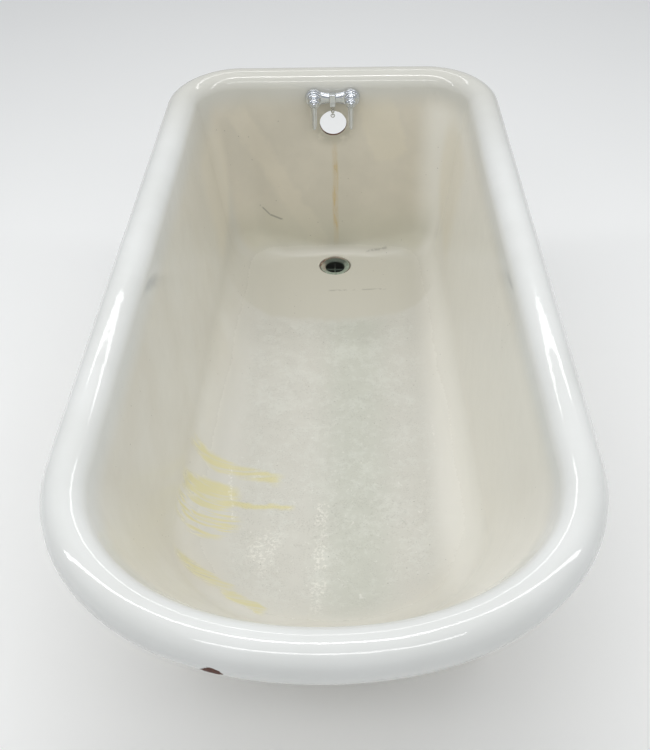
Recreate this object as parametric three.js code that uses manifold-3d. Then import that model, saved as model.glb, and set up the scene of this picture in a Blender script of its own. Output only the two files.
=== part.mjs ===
// Roll-rim cast-iron bathtub on four claw feet, with its centre bath cock and waste.
// Millimetres. +X is the bather's right when facing the tap end, +Y points to the tap end, +Z is up.
// The origin is on the floor under the middle of the rim.
import * as THREE from 'three';
import { mergeVertices } from 'three/addons/utils/BufferGeometryUtils.js';
import Module from 'manifold-3d';

const wasm = await Module();
wasm.setup();

// ---------------------------------------------------------------- driving dimensions

// tub, over the rim
const RIM_LENGTH = 1524;
const RIM_WIDTH = 762;
const RIM_HEIGHT = 600;
const RIM_TUBE_RADIUS = 32.5;
const RIM_CURL_BELOW = 50; // degrees below level where the rolled lip ends
const TAPER_PER_SIDE = 36; // the tap end is this much narrower on each side
const CORNER_RADIUS = 121; // on the rim tube's centre line
const HEAD_REACH = 300; // depth of the rounded head, on the rim tube's centre line
const HEAD_SQUARENESS = 2.124; // 2 is an ellipse, more is squarer
const WALL = 6;
const BASIN_DEPTH = 448; // rim top to the floor at the waste
const FLOOR_SLOPE = 0.008; // rise of the floor per millimetre away from the waste
const SIDE_INSET = 58; // how far each wall leans in between the rim and the floor
const TAP_END_INSET = 6;
const HEAD_INSET = 290;
const FOOT_CORNER_RADIUS = 85; // plan corners where the walls reach the floor
const SIDE_FILLET = 88; // reach of the curve between wall and floor
const TAP_END_FILLET = 26;
const HEAD_FILLET = 120;
const FLOOR_CORNER_RADIUS = 60;

// waste and overflow
const WASTE_SETBACK = 126; // rim's outer face to the waste's axis
const WASTE_FLANGE_RADIUS = 36;
const WASTE_FLANGE_THICKNESS = 2.6;
const WASTE_TUBE_RADIUS = 25;
const WASTE_BORE_RADIUS = 22;
const WASTE_TUBE_LENGTH = 42;
const WASTE_BAR = 3.2;
const WASTE_BOSS_RADIUS = 46;
const WASTE_BOSS_HEIGHT = 6;
const WASTE_RECESS_MARGIN = 1.2; // between the flange and the recess round it
const WASTE_NUT_FLATS = 64;
const WASTE_NUT_HEIGHT = 9;
const OVERFLOW_RADIUS = 29;
const OVERFLOW_DROP = 111; // rim top to the overflow's axis

// bath cock
const TAP_CENTRES = 79;
const TAP_DROP = 46; // rim top to the shanks' axes
const SHANK_RADIUS = 9.5;
const SHANK_BORE_RADIUS = 6;
const SHANK_REACH = 21; // past the wall's inner face
const BARREL_RADIUS = 20;
const BARREL_LENGTH = 20; // wall's inner face to the barrel's mouth
const BARREL_BORE_RADIUS = 10;
const BRIDGE_OUT = 11.5; // wall's inner face to the bridge's centre line
const BRIDGE_END_HEIGHT = 17.5; // half heights of the bow-tie
const BRIDGE_MIDDLE_HEIGHT = 11;
const BRIDGE_HALF_DEPTH = 8.5;
const BRIDGE_BORE_RADIUS = 4.5;
const LUG_WIDTH = 13;
const LUG_FRONT = 24; // wall's inner face to the lug's flat front
const LUG_TOP = 12; // above the shanks' axes
const LUG_BOTTOM = -15.5;
const LUG_OUTLET_RADIUS = 4;
const LUG_OUTLET_OUT = 12;
const BONNET_RADIUS = 14.5;
const BONNET_LENGTH = 6;
const BONNET_SKIRT = 6;
const PACKING_NUT_FLATS = 14;
const PACKING_NUT_LENGTH = 3.2;
const STEM_RADIUS = 4;
const STEM_FOOT = 8.6; // wall's inner face to the stem's disc
const STEM_DISC = 3;
const VALVE_WASHER_THICKNESS = 3.2;
const LEVER_HUB_RADIUS = 12;
const LEVER_HUB_HALF_LENGTH = 8;
const LEVER_LENGTH = 61; // stem axis to tip
const LEVER_ROOT_RADIUS = 6.2;
const LEVER_TIP_RADIUS = 4.4;
const LEVER_SCREW_RADIUS = 2;
const LEVER_SCREW_HEAD_RADIUS = 4.6;
const LEVER_SCREW_DEPTH = 7;
const GASKET = 2;
const BACK_WASHER_RADIUS = 13.5;
const LOCKNUT_FLATS = 26;
const LOCKNUT_HEIGHT = 6;
const COUPLING_FLATS = 25;
const COUPLING_LENGTH = 12;
const TAILPIECE_RADIUS = 6.35;
const TAILPIECE_BORE_RADIUS = 4.6;
const TAILPIECE_COLLAR = 2;
const TAILPIECE_BEND = 12;
const TAILPIECE_DROP = 45;

// plug chain
const CHAIN_WIRE_RADIUS = 0.95;
const CHAIN_LOOP_RADIUS = 2.6; // middle of the wire
const CHAIN_BEAD_RADIUS = 3.8;
const CHAIN_RING_RADIUS = 3.8;
const CHAIN_SETBACK = 19; // wall's inner face to the chain

// feet
const FEET_SIDE_SETBACK = 145; // rim's outer face to the balls, on each side
const TAP_FEET_SETBACK = 205; // rim's outer face to the balls
const HEAD_FEET_SETBACK = 455;
const FOOT_TURN = 38; // degrees that the feet turn towards the tub's ends
const BALL_RADIUS = 31;
const SOLE_CUT = 4; // how much of the ball is flattened
const FOOT_KNEE_TOP = 196;
const PAD_DEPTH_BELOW = 9; // foot pad's face, below the floor's underside
const PAD_WIDTH = 62;
const PAD_LENGTH = 56;
const PAD_RISE = 34;
const STUD_SETBACK = 62; // ball's axis to the stud's axis, towards the tub
const STUD_RADIUS = 6;
const STUD_IN_PAD = 9;
const STUD_LENGTH = 42;
const EAR_THICKNESS = 13;
const FOOT_WASHER_RADIUS = 13;
const FOOT_WASHER_THICKNESS = 2.5;
const FOOT_NUT_FLATS = 19;
const FOOT_NUT_HEIGHT = 10;

// fits
const GAP = 0.3; // between pieces that touch
const BORE_CLEARANCE = 0.3; // radial, round a shank, stem or stud
const FOOT_CLEARANCE = 0.6; // foot's knee to the tub's underside

// ---------------------------------------------------------------- worked-out places

const RIM_CENTRE_Z = RIM_HEIGHT - RIM_TUBE_RADIUS;
const FLOOR_Z = RIM_HEIGHT - BASIN_DEPTH;
const TAP_FACE_Y = RIM_LENGTH / 2;
const HEAD_FACE_Y = -RIM_LENGTH / 2;
const WASTE_Y = TAP_FACE_Y - WASTE_SETBACK;

// ---------------------------------------------------------------- shape helpers

const radians = THREE.MathUtils.degToRad;

// one closed, outward-facing geometry with shared vertices and no collapsed triangles
function closed(geometry) {
  const bare = geometry.clone();
  bare.deleteAttribute('normal');
  bare.deleteAttribute('uv');
  const merged = mergeVertices(bare, 1e-4);
  const position = merged.getAttribute('position');
  const corner = [new THREE.Vector3(), new THREE.Vector3(), new THREE.Vector3()];
  const kept = [];
  let volume = 0;
  for (let i = 0; i < merged.index.count; i += 3) {
    const [a, b, c] = [0, 1, 2].map((k) => merged.index.getX(i + k));
    if (a === b || b === c || c === a) continue;
    [a, b, c].forEach((vertex, k) => corner[k].fromBufferAttribute(position, vertex));
    volume += corner[0].dot(corner[1].clone().cross(corner[2]));
    kept.push(a, b, c);
  }
  merged.setIndex(volume > 0 ? kept : kept.reverse());
  return merged;
}

function solidOf(geometry) {
  const shape = closed(geometry);
  return new wasm.Manifold(new wasm.Mesh({
    numProp: 3,
    vertProperties: new Float32Array(shape.getAttribute('position').array),
    triVerts: new Uint32Array(shape.index.array),
  }));
}

function geometryOf(solid) {
  const mesh = solid.getMesh();
  const geometry = new THREE.BufferGeometry();
  geometry.setAttribute('position', new THREE.BufferAttribute(new Float32Array(mesh.vertProperties), 3));
  geometry.setIndex(new THREE.BufferAttribute(new Uint32Array(mesh.triVerts), 1));
  return geometry;
}

function joined(first, ...others) {
  return geometryOf(others.reduce((sum, shape) => sum.add(solidOf(shape)), solidOf(first)));
}

function cut(shape, ...cutters) {
  return geometryOf(cutters.reduce((rest, cutter) => rest.subtract(solidOf(cutter)), solidOf(shape)));
}

function moved(geometry, position, rotation = [0, 0, 0]) {
  const place = new THREE.Object3D();
  place.position.set(...position);
  place.rotation.set(...rotation);
  place.updateMatrix();
  return geometry.clone().applyMatrix4(place.matrix);
}

const ALONG_Y = [-Math.PI / 2, 0, 0]; // turns a shape made along +Z so that it lies along +Y
const ALONG_X = [0, Math.PI / 2, 0];

// solid of revolution about Z from [radius, z] points
function turned(points, sides = 16) {
  const profile = points.map(([radius, z]) => new THREE.Vector2(radius, z));
  return new THREE.LatheGeometry(profile, sides).rotateX(Math.PI / 2);
}

function rod(radius, from, to, sides = 16) {
  return turned([[0, from], [radius, from], [radius, to], [0, to]], sides);
}

// a cutter whose flats, not its corners, lie at the radius, so that a round rod clears it
const flatsAt = (radius, sides) => radius / Math.cos(Math.PI / sides);
const hole = (radius, from, to, sides = 16) => rod(flatsAt(radius, sides), from, to, sides);

function ring(outer, bore, from, to, sides = 16) {
  const inner = flatsAt(bore, sides);
  return turned([[inner, from], [outer, from], [outer, to], [inner, to], [inner, from]], sides);
}

function block(width, depth, height, centre) {
  return moved(new THREE.BoxGeometry(width, depth, height), centre);
}

function hexNut(acrossFlats, boreRadius, from, to) {
  const hexagon = rod(acrossFlats / Math.sqrt(3), from, to, 6);
  return cut(hexagon, hole(boreRadius, from - 1, to + 1));
}

// solid through rings that all have the same number of points, closed by a point in each end
function lofted(rings) {
  const sides = rings[0].length;
  const middle = (points) => points
    .reduce((sum, point) => sum.add(point), new THREE.Vector3())
    .divideScalar(points.length);
  const vertices = [...rings.flat(), middle(rings[0]), middle(rings.at(-1))];
  const faces = [];
  for (let i = 0; i < sides; i += 1) {
    const next = (i + 1) % sides;
    for (let level = 0; level < rings.length - 1; level += 1) {
      const low = level * sides;
      const high = low + sides;
      faces.push(low + i, low + next, high + next, low + i, high + next, high + i);
    }
    const last = (rings.length - 1) * sides;
    faces.push(vertices.length - 2, next, i);
    faces.push(vertices.length - 1, last + i, last + next);
  }
  const geometry = new THREE.BufferGeometry();
  geometry.setFromPoints(vertices);
  geometry.setIndex(faces);
  return geometry;
}

// ---------------------------------------------------------------- tub shell

const TAP_END_STEPS = 3;
const CORNER_STEPS = 5;
const SIDE_STEPS = 4;
const HEAD_STEPS = 12;

// Half outline in plan, from the middle of the tap end to the middle of the head:
// straight end, round corner, tapered side, rounded head. Then its mirror image.
function planOutline({ halfWidth, tapY, headY, headReach, corner }) {
  const tapHalfWidth = halfWidth - TAPER_PER_SIDE;
  const headStart = headY + headReach;
  const half = [];
  for (let i = 0; i < TAP_END_STEPS; i += 1) {
    half.push([(tapHalfWidth - corner) * i / TAP_END_STEPS, tapY]);
  }
  for (let i = 0; i < CORNER_STEPS; i += 1) {
    const angle = Math.PI / 2 * (1 - i / CORNER_STEPS);
    half.push([tapHalfWidth + corner * (Math.cos(angle) - 1), tapY + corner * (Math.sin(angle) - 1)]);
  }
  for (let i = 0; i < SIDE_STEPS; i += 1) {
    const share = i / SIDE_STEPS;
    const x = THREE.MathUtils.lerp(tapHalfWidth, halfWidth, share);
    half.push([x, THREE.MathUtils.lerp(tapY - corner, headStart, share)]);
  }
  for (let i = 0; i <= HEAD_STEPS; i += 1) {
    const angle = Math.PI / 2 * i / HEAD_STEPS;
    const power = 2 / HEAD_SQUARENESS;
    const across = i === HEAD_STEPS ? 0 : Math.cos(angle) ** power;
    half.push([halfWidth * across, headStart - headReach * Math.sin(angle) ** power]);
  }
  const mirrored = half.slice(1, -1).reverse().map(([x, y]) => [-x, y]);
  return [...half, ...mirrored].map(([x, y]) => new THREE.Vector2(x, y));
}

// outward unit normals of a plan outline
function outwardNormals(outline) {
  return outline.map((_, i) => {
    const before = outline.at(i - 1);
    const after = outline[(i + 1) % outline.length];
    return new THREE.Vector2(before.y - after.y, after.x - before.x).normalize();
  });
}

const RIM_LINE = planOutline({
  halfWidth: RIM_WIDTH / 2 - RIM_TUBE_RADIUS,
  tapY: TAP_FACE_Y - RIM_TUBE_RADIUS,
  headY: HEAD_FACE_Y + RIM_TUBE_RADIUS,
  headReach: HEAD_REACH,
  corner: CORNER_RADIUS,
});
const WALL_FOOT = {
  halfWidth: RIM_WIDTH / 2 - 2 * RIM_TUBE_RADIUS - SIDE_INSET,
  tapY: TAP_FACE_Y - 2 * RIM_TUBE_RADIUS - TAP_END_INSET,
  headY: HEAD_FACE_Y + 2 * RIM_TUBE_RADIUS + HEAD_INSET,
  headReach: HEAD_REACH - SIDE_INSET,
  corner: FOOT_CORNER_RADIUS,
};
const FOOT_LINE = planOutline(WALL_FOOT);
const FLOOR_LINE = planOutline({
  halfWidth: WALL_FOOT.halfWidth - SIDE_FILLET,
  tapY: WALL_FOOT.tapY - TAP_END_FILLET,
  headY: WALL_FOOT.headY + HEAD_FILLET,
  headReach: WALL_FOOT.headReach - SIDE_FILLET,
  corner: FLOOR_CORNER_RADIUS,
});
const RIM_NORMALS = outwardNormals(RIM_LINE);
const FOOT_NORMALS = outwardNormals(FOOT_LINE);

const floorHeight = (y) => FLOOR_Z + FLOOR_SLOPE * (WASTE_Y - y);

// lean from upright of the wall at one outline point, for a surface that lies
// the given distance outside the enamel and is tangent to the rim tube
function wallLean(i, tubeRadius, foot, footZ) {
  const across = RIM_LINE[i].clone().sub(foot).dot(RIM_NORMALS[i]);
  const rise = RIM_CENTRE_Z - footZ;
  return Math.atan2(across, rise) - Math.asin(tubeRadius / Math.hypot(across, rise));
}

function rimPoint(i, radius, angle) {
  const reach = radius * Math.cos(angle);
  const point = RIM_LINE[i].clone().addScaledVector(RIM_NORMALS[i], reach);
  return new THREE.Vector3(point.x, point.y, RIM_CENTRE_Z + radius * Math.sin(angle));
}

const FILLET_STEPS = 4;
const WALL_STEPS = 2;
const FILLET_WEIGHT = 0.74; // of the curve's middle point: close to a circle's arc

// rings of points from the floor up to the rim tube, on a surface outside the enamel
function basinRings(outside) {
  const tubeRadius = RIM_TUBE_RADIUS - outside;
  const columns = RIM_LINE.map((_, i) => {
    const enamelFoot = FOOT_LINE[i];
    const floorZ = floorHeight(enamelFoot.y);
    const lean = wallLean(i, RIM_TUBE_RADIUS, enamelFoot, floorZ);
    const shift = outside * (1 - Math.sin(lean)) / Math.cos(lean);
    const footPlan = enamelFoot.clone().addScaledVector(FOOT_NORMALS[i], shift);
    const foot = new THREE.Vector3(footPlan.x, footPlan.y, floorZ - outside);
    const top = rimPoint(i, tubeRadius, Math.PI - wallLean(i, tubeRadius, footPlan, foot.z));
    const floorPlan = FLOOR_LINE[i];
    const floor = new THREE.Vector3(floorPlan.x, floorPlan.y, floorHeight(floorPlan.y) - outside);
    const filletTop = foot.clone().lerp(top, floor.distanceTo(foot) / top.distanceTo(foot));
    const column = [];
    for (let step = 0; step < FILLET_STEPS; step += 1) {
      const share = step / FILLET_STEPS;
      const weights = [(1 - share) ** 2, 2 * share * (1 - share) * FILLET_WEIGHT, share ** 2];
      const point = new THREE.Vector3()
        .addScaledVector(floor, weights[0])
        .addScaledVector(foot, weights[1])
        .addScaledVector(filletTop, weights[2]);
      column.push(point.divideScalar(weights[0] + weights[1] + weights[2]));
    }
    for (let step = 0; step <= WALL_STEPS; step += 1) {
      column.push(filletTop.clone().lerp(top, step / WALL_STEPS));
    }
    return column;
  });
  return columns[0].map((_, level) => columns.map((column) => column[level]));
}

// rings round the rim tube: from the wall's tangent point to the top, to the outer side, to the lip's edge
function rimRings(outside, [toTop, toSide, toLip]) {
  const radius = RIM_TUBE_RADIUS - outside;
  const starts = basinRings(outside).at(-1).map((point) => Math.asin((point.z - RIM_CENTRE_Z) / radius));
  const stretch = (steps, from, to) => Array.from({ length: steps }, (_, step) => (
    RIM_LINE.map((_point, i) => rimPoint(i, radius, THREE.MathUtils.lerp(from(i), to, (step + 1) / steps)))
  ));
  return [
    ...stretch(toTop, (i) => Math.PI - starts[i], Math.PI / 2),
    ...stretch(toSide, () => Math.PI / 2, 0),
    ...stretch(toLip, () => 0, -radians(RIM_CURL_BELOW)),
  ];
}

const RIM_OUTSIDE_STEPS = [3, 4, 2];
const RIM_INSIDE_STEPS = [2, 3, 1];
const bareShell = lofted([
  ...basinRings(0),
  ...rimRings(0, RIM_OUTSIDE_STEPS),
  ...rimRings(WALL, RIM_INSIDE_STEPS).reverse(),
  ...basinRings(WALL).reverse(),
]);
const basinSpace = lofted(basinRings(0));

// the tap end's flat wall: its lean, and its inner face's distance from the tub's middle
const TAP_WALL_LEAN = wallLean(0, RIM_TUBE_RADIUS, FOOT_LINE[0], floorHeight(FOOT_LINE[0].y));
const TAP_WALL_TOP = rimPoint(0, RIM_TUBE_RADIUS, Math.PI - TAP_WALL_LEAN);
const tapWallY = (z) => TAP_WALL_TOP.y - (TAP_WALL_TOP.z - z) * Math.tan(TAP_WALL_LEAN);

const FLANGE_SEAT_Z = -WASTE_FLANGE_THICKNESS - GASKET / 2 - 2 * GAP; // from the floor at the waste
const TAP_Z = RIM_HEIGHT - TAP_DROP;
const OVERFLOW_Z = RIM_HEIGHT - OVERFLOW_DROP;
const THROUGH_WALL = 4 * WALL;

// where each foot stands, and the frame its pad, stud, washer and nut share
const FEET = [
  { name: 'drain_left', side: -1, end: 1, y: TAP_FACE_Y - TAP_FEET_SETBACK },
  { name: 'drain_right', side: 1, end: 1, y: TAP_FACE_Y - TAP_FEET_SETBACK },
  { name: 'head_left', side: -1, end: -1, y: HEAD_FACE_Y + HEAD_FEET_SETBACK },
  { name: 'head_right', side: 1, end: -1, y: HEAD_FACE_Y + HEAD_FEET_SETBACK },
].map((foot) => ({
  ...foot,
  x: foot.side * (RIM_WIDTH / 2 - FEET_SIDE_SETBACK),
  heading: Math.atan2(foot.end * Math.sin(radians(FOOT_TURN)), foot.side * Math.cos(radians(FOOT_TURN))),
}));

const onFoot = (foot, geometry) => moved(geometry, [foot.x, foot.y, 0], [0, 0, foot.heading]);
// pads stay level although the floor slopes, so they take the height of the lower end
const PAD_Z = FLOOR_Z - WALL - PAD_DEPTH_BELOW;

function footPad(foot) {
  const top = PAD_Z + PAD_RISE;
  const pad = block(PAD_LENGTH, PAD_WIDTH, top - PAD_Z, [-STUD_SETBACK, 0, (top + PAD_Z) / 2]);
  return cut(onFoot(foot, pad), basinSpace);
}

function tubShell() {
  const bossSlug = rod(WASTE_BOSS_RADIUS, -WALL - WASTE_BOSS_HEIGHT, TAP_END_FILLET / 2);
  const boss = cut(moved(bossSlug, [0, WASTE_Y, FLOOR_Z]), basinSpace);
  const solid = joined(bareShell, boss, ...FEET.map(footPad));
  const shankHoles = [-1, 1].map((side) => moved(
    hole(SHANK_RADIUS + BORE_CLEARANCE, -THROUGH_WALL, THROUGH_WALL),
    [side * TAP_CENTRES / 2, tapWallY(TAP_Z), TAP_Z],
    [ALONG_Y[0] - TAP_WALL_LEAN, 0, 0],
  ));
  const overflow = moved(
    rod(OVERFLOW_RADIUS, -THROUGH_WALL, THROUGH_WALL, 28),
    [0, tapWallY(OVERFLOW_Z), OVERFLOW_Z],
    [ALONG_Y[0] - TAP_WALL_LEAN, 0, 0],
  );
  const wasteHole = turned([
    [0, -THROUGH_WALL],
    [WASTE_TUBE_RADIUS + 2 * BORE_CLEARANCE, -THROUGH_WALL],
    [WASTE_TUBE_RADIUS + 2 * BORE_CLEARANCE, FLANGE_SEAT_Z],
    [WASTE_FLANGE_RADIUS + 2 * GAP, FLANGE_SEAT_Z],
    [WASTE_FLANGE_RADIUS + WASTE_RECESS_MARGIN, 0],
    [WASTE_FLANGE_RADIUS + 2 * WASTE_RECESS_MARGIN, TAP_END_FILLET],
    [0, TAP_END_FILLET],
  ], 24);
  const studHoles = FEET.map((foot) => onFoot(foot, moved(
    hole(STUD_RADIUS + BORE_CLEARANCE, -1, STUD_IN_PAD + GAP, 16),
    [-STUD_SETBACK, 0, PAD_Z],
  )));
  return cut(solid, ...shankHoles, overflow, moved(wasteHole, [0, WASTE_Y, FLOOR_Z]), ...studHoles);
}

// ---------------------------------------------------------------- feet

const FOOT_SIDES = 10;

// stacked ellipses from the ankle, inside the ball, up to the knee under the tub
function legShape() {
  const sections = [
    { z: 22, x: 0, along: 17, across: 17 },
    { z: 58, x: -5, along: 19, across: 21 },
    { z: 82, x: -12, along: 24, across: 28 },
    { z: 106, x: -18, along: 36, across: 42 },
    { z: 132, x: -14, along: 44, across: 53 },
    { z: 164, x: 0, along: 36, across: 50 },
    { z: FOOT_KNEE_TOP, x: 10, along: 20, across: 34 },
  ];
  return lofted(sections.map(({ z, x, along, across }) => Array.from({ length: FOOT_SIDES }, (_, i) => {
    const angle = 2 * Math.PI * i / FOOT_SIDES;
    return new THREE.Vector3(x + along * Math.cos(angle), across * Math.sin(angle), z);
  })));
}

// one toe of the claw: an egg laid down the ball's side
function toe(angleDegrees) {
  const egg = new THREE.SphereGeometry(1, 6, 5).scale(11, 8.5, 25);
  const leaning = moved(egg, [BALL_RADIUS - 3, 0, BALL_RADIUS - 3], [0, radians(-18), 0]);
  return moved(leaning, [0, 0, 0], [0, 0, radians(angleDegrees)]);
}

const tubUnderside = lofted(basinRings(WALL + FOOT_CLEARANCE));

function clawFoot(foot) {
  const ballZ = BALL_RADIUS - SOLE_CUT;
  const ball = moved(new THREE.SphereGeometry(BALL_RADIUS, 12, 7), [0, 0, ballZ], [Math.PI / 2, 0, 0]);
  const earTop = PAD_Z - GAP;
  const ear = block(PAD_LENGTH, PAD_WIDTH - 6, EAR_THICKNESS, [-STUD_SETBACK, 0, earTop - EAR_THICKNESS / 2]);
  const whole = joined(legShape(), ball, ear, toe(-58), toe(0), toe(58), toe(180));
  const belowFloor = block(200, 200, 60, [0, 0, -30]);
  const padRoom = block(PAD_LENGTH + 2, PAD_WIDTH + 2, 120, [-STUD_SETBACK, 0, earTop + 60]);
  const studHole = moved(
    hole(STUD_RADIUS + BORE_CLEARANCE, earTop - EAR_THICKNESS - 1, earTop + 1, 16),
    [-STUD_SETBACK, 0, 0],
  );
  const nutRoom = moved(
    rod(FOOT_WASHER_RADIUS + 1.5, PAD_Z - STUD_LENGTH - 10, earTop - EAR_THICKNESS),
    [-STUD_SETBACK, 0, 0],
  );
  return cut(onFoot(foot, cut(whole, belowFloor, padRoom, studHole, nutRoom)), tubUnderside);
}

function footFixings(foot) {
  const onStud = (geometry) => onFoot(foot, moved(geometry, [-STUD_SETBACK, 0, 0]));
  const underEar = PAD_Z - GAP - EAR_THICKNESS - GAP;
  const underWasher = underEar - FOOT_WASHER_THICKNESS - GAP;
  const bore = STUD_RADIUS + BORE_CLEARANCE;
  const studTop = PAD_Z + STUD_IN_PAD;
  return {
    stud: onStud(rod(STUD_RADIUS, studTop - STUD_LENGTH, studTop, 16)),
    washer: onStud(ring(FOOT_WASHER_RADIUS, bore, underEar - FOOT_WASHER_THICKNESS, underEar)),
    nut: onStud(hexNut(FOOT_NUT_FLATS, bore, underWasher - FOOT_NUT_HEIGHT, underWasher)),
  };
}

// ---------------------------------------------------------------- waste

const UNDER_BOSS_Z = -WALL - WASTE_BOSS_HEIGHT;
const UNDER_WASHER_Z = UNDER_BOSS_Z - GAP - GASKET - GAP;

function drainFlange() {
  const body = turned([
    [WASTE_BORE_RADIUS, -WASTE_TUBE_LENGTH],
    [WASTE_TUBE_RADIUS, -WASTE_TUBE_LENGTH],
    [WASTE_TUBE_RADIUS, -WASTE_FLANGE_THICKNESS],
    [WASTE_FLANGE_RADIUS, -WASTE_FLANGE_THICKNESS],
    [WASTE_FLANGE_RADIUS, -1],
    [WASTE_FLANGE_RADIUS - 4, 0],
    [WASTE_BORE_RADIUS + 3, -1],
    [WASTE_BORE_RADIUS, -4],
    [WASTE_BORE_RADIUS, -WASTE_TUBE_LENGTH],
  ], 24);
  const bar = (heading) => moved(
    new THREE.BoxGeometry(2 * WASTE_BORE_RADIUS + 2, WASTE_BAR, WASTE_BAR),
    [0, 0, -12],
    [0, 0, heading],
  );
  return joined(body, bar(0), bar(Math.PI / 2));
}

// ---------------------------------------------------------------- bath cock
// Its group's origin is on the wall's inner face between the shanks. -Y is into the tub.
// Each valve has a frame whose +Z is the valve's axis and whose -Y is where the lever points.

const VALVE_TURN = [Math.PI / 2, 0, 0];
const shankPlace = (side) => [side * TAP_CENTRES / 2, 0, 0];
const onValve = (side, geometry) => moved(geometry, shankPlace(side), VALVE_TURN);
const onShank = (side, geometry) => moved(geometry, shankPlace(side), ALONG_Y);
const FLANGE_BACK = GAP + GASKET + GAP;

// bow-tie bar between the barrels, tall at its ends and slim in the middle
function bridgeShape() {
  const stations = 7;
  const sides = 12;
  return lofted(Array.from({ length: stations }, (_, k) => {
    const share = 2 * k / (stations - 1) - 1;
    const halfHeight = THREE.MathUtils.lerp(BRIDGE_MIDDLE_HEIGHT, BRIDGE_END_HEIGHT, share ** 2);
    return Array.from({ length: sides }, (_point, i) => {
      const angle = 2 * Math.PI * i / sides;
      return new THREE.Vector3(
        share * TAP_CENTRES / 2,
        BRIDGE_HALF_DEPTH * Math.cos(angle) - BRIDGE_OUT,
        halfHeight * Math.sin(angle),
      );
    });
  }));
}

const STAY_POST_RADIUS = 1.2;
const STAY_POST_LENGTH = 5;

function tapBody() {
  const lug = block(
    LUG_WIDTH,
    LUG_FRONT - BRIDGE_OUT / 2,
    LUG_TOP - LUG_BOTTOM,
    [0, -(LUG_FRONT + BRIDGE_OUT / 2) / 2, (LUG_TOP + LUG_BOTTOM) / 2],
  );
  const barrel = turned([
    [0, FLANGE_BACK], [BARREL_RADIUS - 2, FLANGE_BACK], [BARREL_RADIUS - 1, FLANGE_BACK + 2],
    [BARREL_RADIUS, BARREL_LENGTH * 0.45], [BARREL_RADIUS - 0.6, BARREL_LENGTH * 0.75],
    [BARREL_RADIUS - 3, BARREL_LENGTH], [0, BARREL_LENGTH],
  ], 20);
  const shank = rod(SHANK_RADIUS, -FLANGE_BACK - 1, SHANK_REACH);
  const casting = joined(
    bridgeShape(), lug, onValve(-1, barrel), onValve(1, barrel), onShank(-1, shank), onShank(1, shank),
  );
  const waterways = [-1, 1].flatMap((side) => [
    onValve(side, rod(BARREL_BORE_RADIUS, FLANGE_BACK + 1, BARREL_LENGTH + 1)),
    onValve(side, hole(BARREL_RADIUS, BARREL_LENGTH, 2 * BARREL_LENGTH)),
    onShank(side, rod(SHANK_BORE_RADIUS, -FLANGE_BACK - 2, SHANK_REACH + 1, 12)),
  ]);
  const crossBore = moved(
    rod(BRIDGE_BORE_RADIUS, -TAP_CENTRES / 2, TAP_CENTRES / 2, 8),
    [0, -BRIDGE_OUT, 0],
    ALONG_X,
  );
  const outlet = moved(rod(LUG_OUTLET_RADIUS, LUG_BOTTOM - 1, 0, 10), [0, -LUG_OUTLET_OUT, 0]);
  const stayHole = moved(
    hole(STAY_POST_RADIUS + BORE_CLEARANCE, LUG_BOTTOM - 1, LUG_BOTTOM + STAY_POST_LENGTH + GAP, 12),
    [0, -CHAIN_SETBACK, 0],
  );
  return cut(casting, ...waterways, crossBore, outlet, stayHole);
}

const BONNET_SEAT = BARREL_LENGTH + GAP;
const BONNET_TOP = BONNET_SEAT + BONNET_LENGTH;
const PACKING_TOP = BONNET_TOP + GAP + PACKING_NUT_LENGTH;
const HUB_FROM = PACKING_TOP + GAP;
const HUB_CENTRE = HUB_FROM + LEVER_HUB_HALF_LENGTH;
const HUB_TO = HUB_CENTRE + LEVER_HUB_HALF_LENGTH;
const STEM_TOP = HUB_CENTRE + LEVER_HUB_HALF_LENGTH / 2;
const stemBore = STEM_RADIUS + BORE_CLEARANCE;

const bonnet = () => turned([
  [stemBore, BONNET_SEAT - BONNET_SKIRT],
  [BARREL_BORE_RADIUS - GAP, BONNET_SEAT - BONNET_SKIRT],
  [BARREL_BORE_RADIUS - GAP, BONNET_SEAT],
  [BONNET_RADIUS, BONNET_SEAT],
  [BONNET_RADIUS - 0.6, BONNET_SEAT + BONNET_LENGTH / 3],
  [BONNET_RADIUS - 3, BONNET_SEAT + BONNET_LENGTH * 0.7],
  [BONNET_RADIUS - 7, BONNET_TOP],
  [stemBore, BONNET_TOP],
  [stemBore, BONNET_SEAT - BONNET_SKIRT],
]);

const packingNut = () => hexNut(PACKING_NUT_FLATS, stemBore, BONNET_TOP + GAP, PACKING_TOP);

const stem = () => cut(
  turned([
    [0, STEM_FOOT], [BARREL_BORE_RADIUS - 1, STEM_FOOT], [BARREL_BORE_RADIUS - 1, STEM_FOOT + STEM_DISC],
    [STEM_RADIUS, STEM_FOOT + STEM_DISC + 1], [STEM_RADIUS, STEM_TOP], [0, STEM_TOP],
  ]),
  hole(LEVER_SCREW_RADIUS + BORE_CLEARANCE, STEM_TOP - LEVER_SCREW_DEPTH - GAP, STEM_TOP + 1, 12),
);

const valveWasher = () => rod(
  BARREL_BORE_RADIUS - 1,
  STEM_FOOT - GAP - VALVE_WASHER_THICKNESS,
  STEM_FOOT - GAP,
);

const SCREW_RECESS = 1.5;

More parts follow.
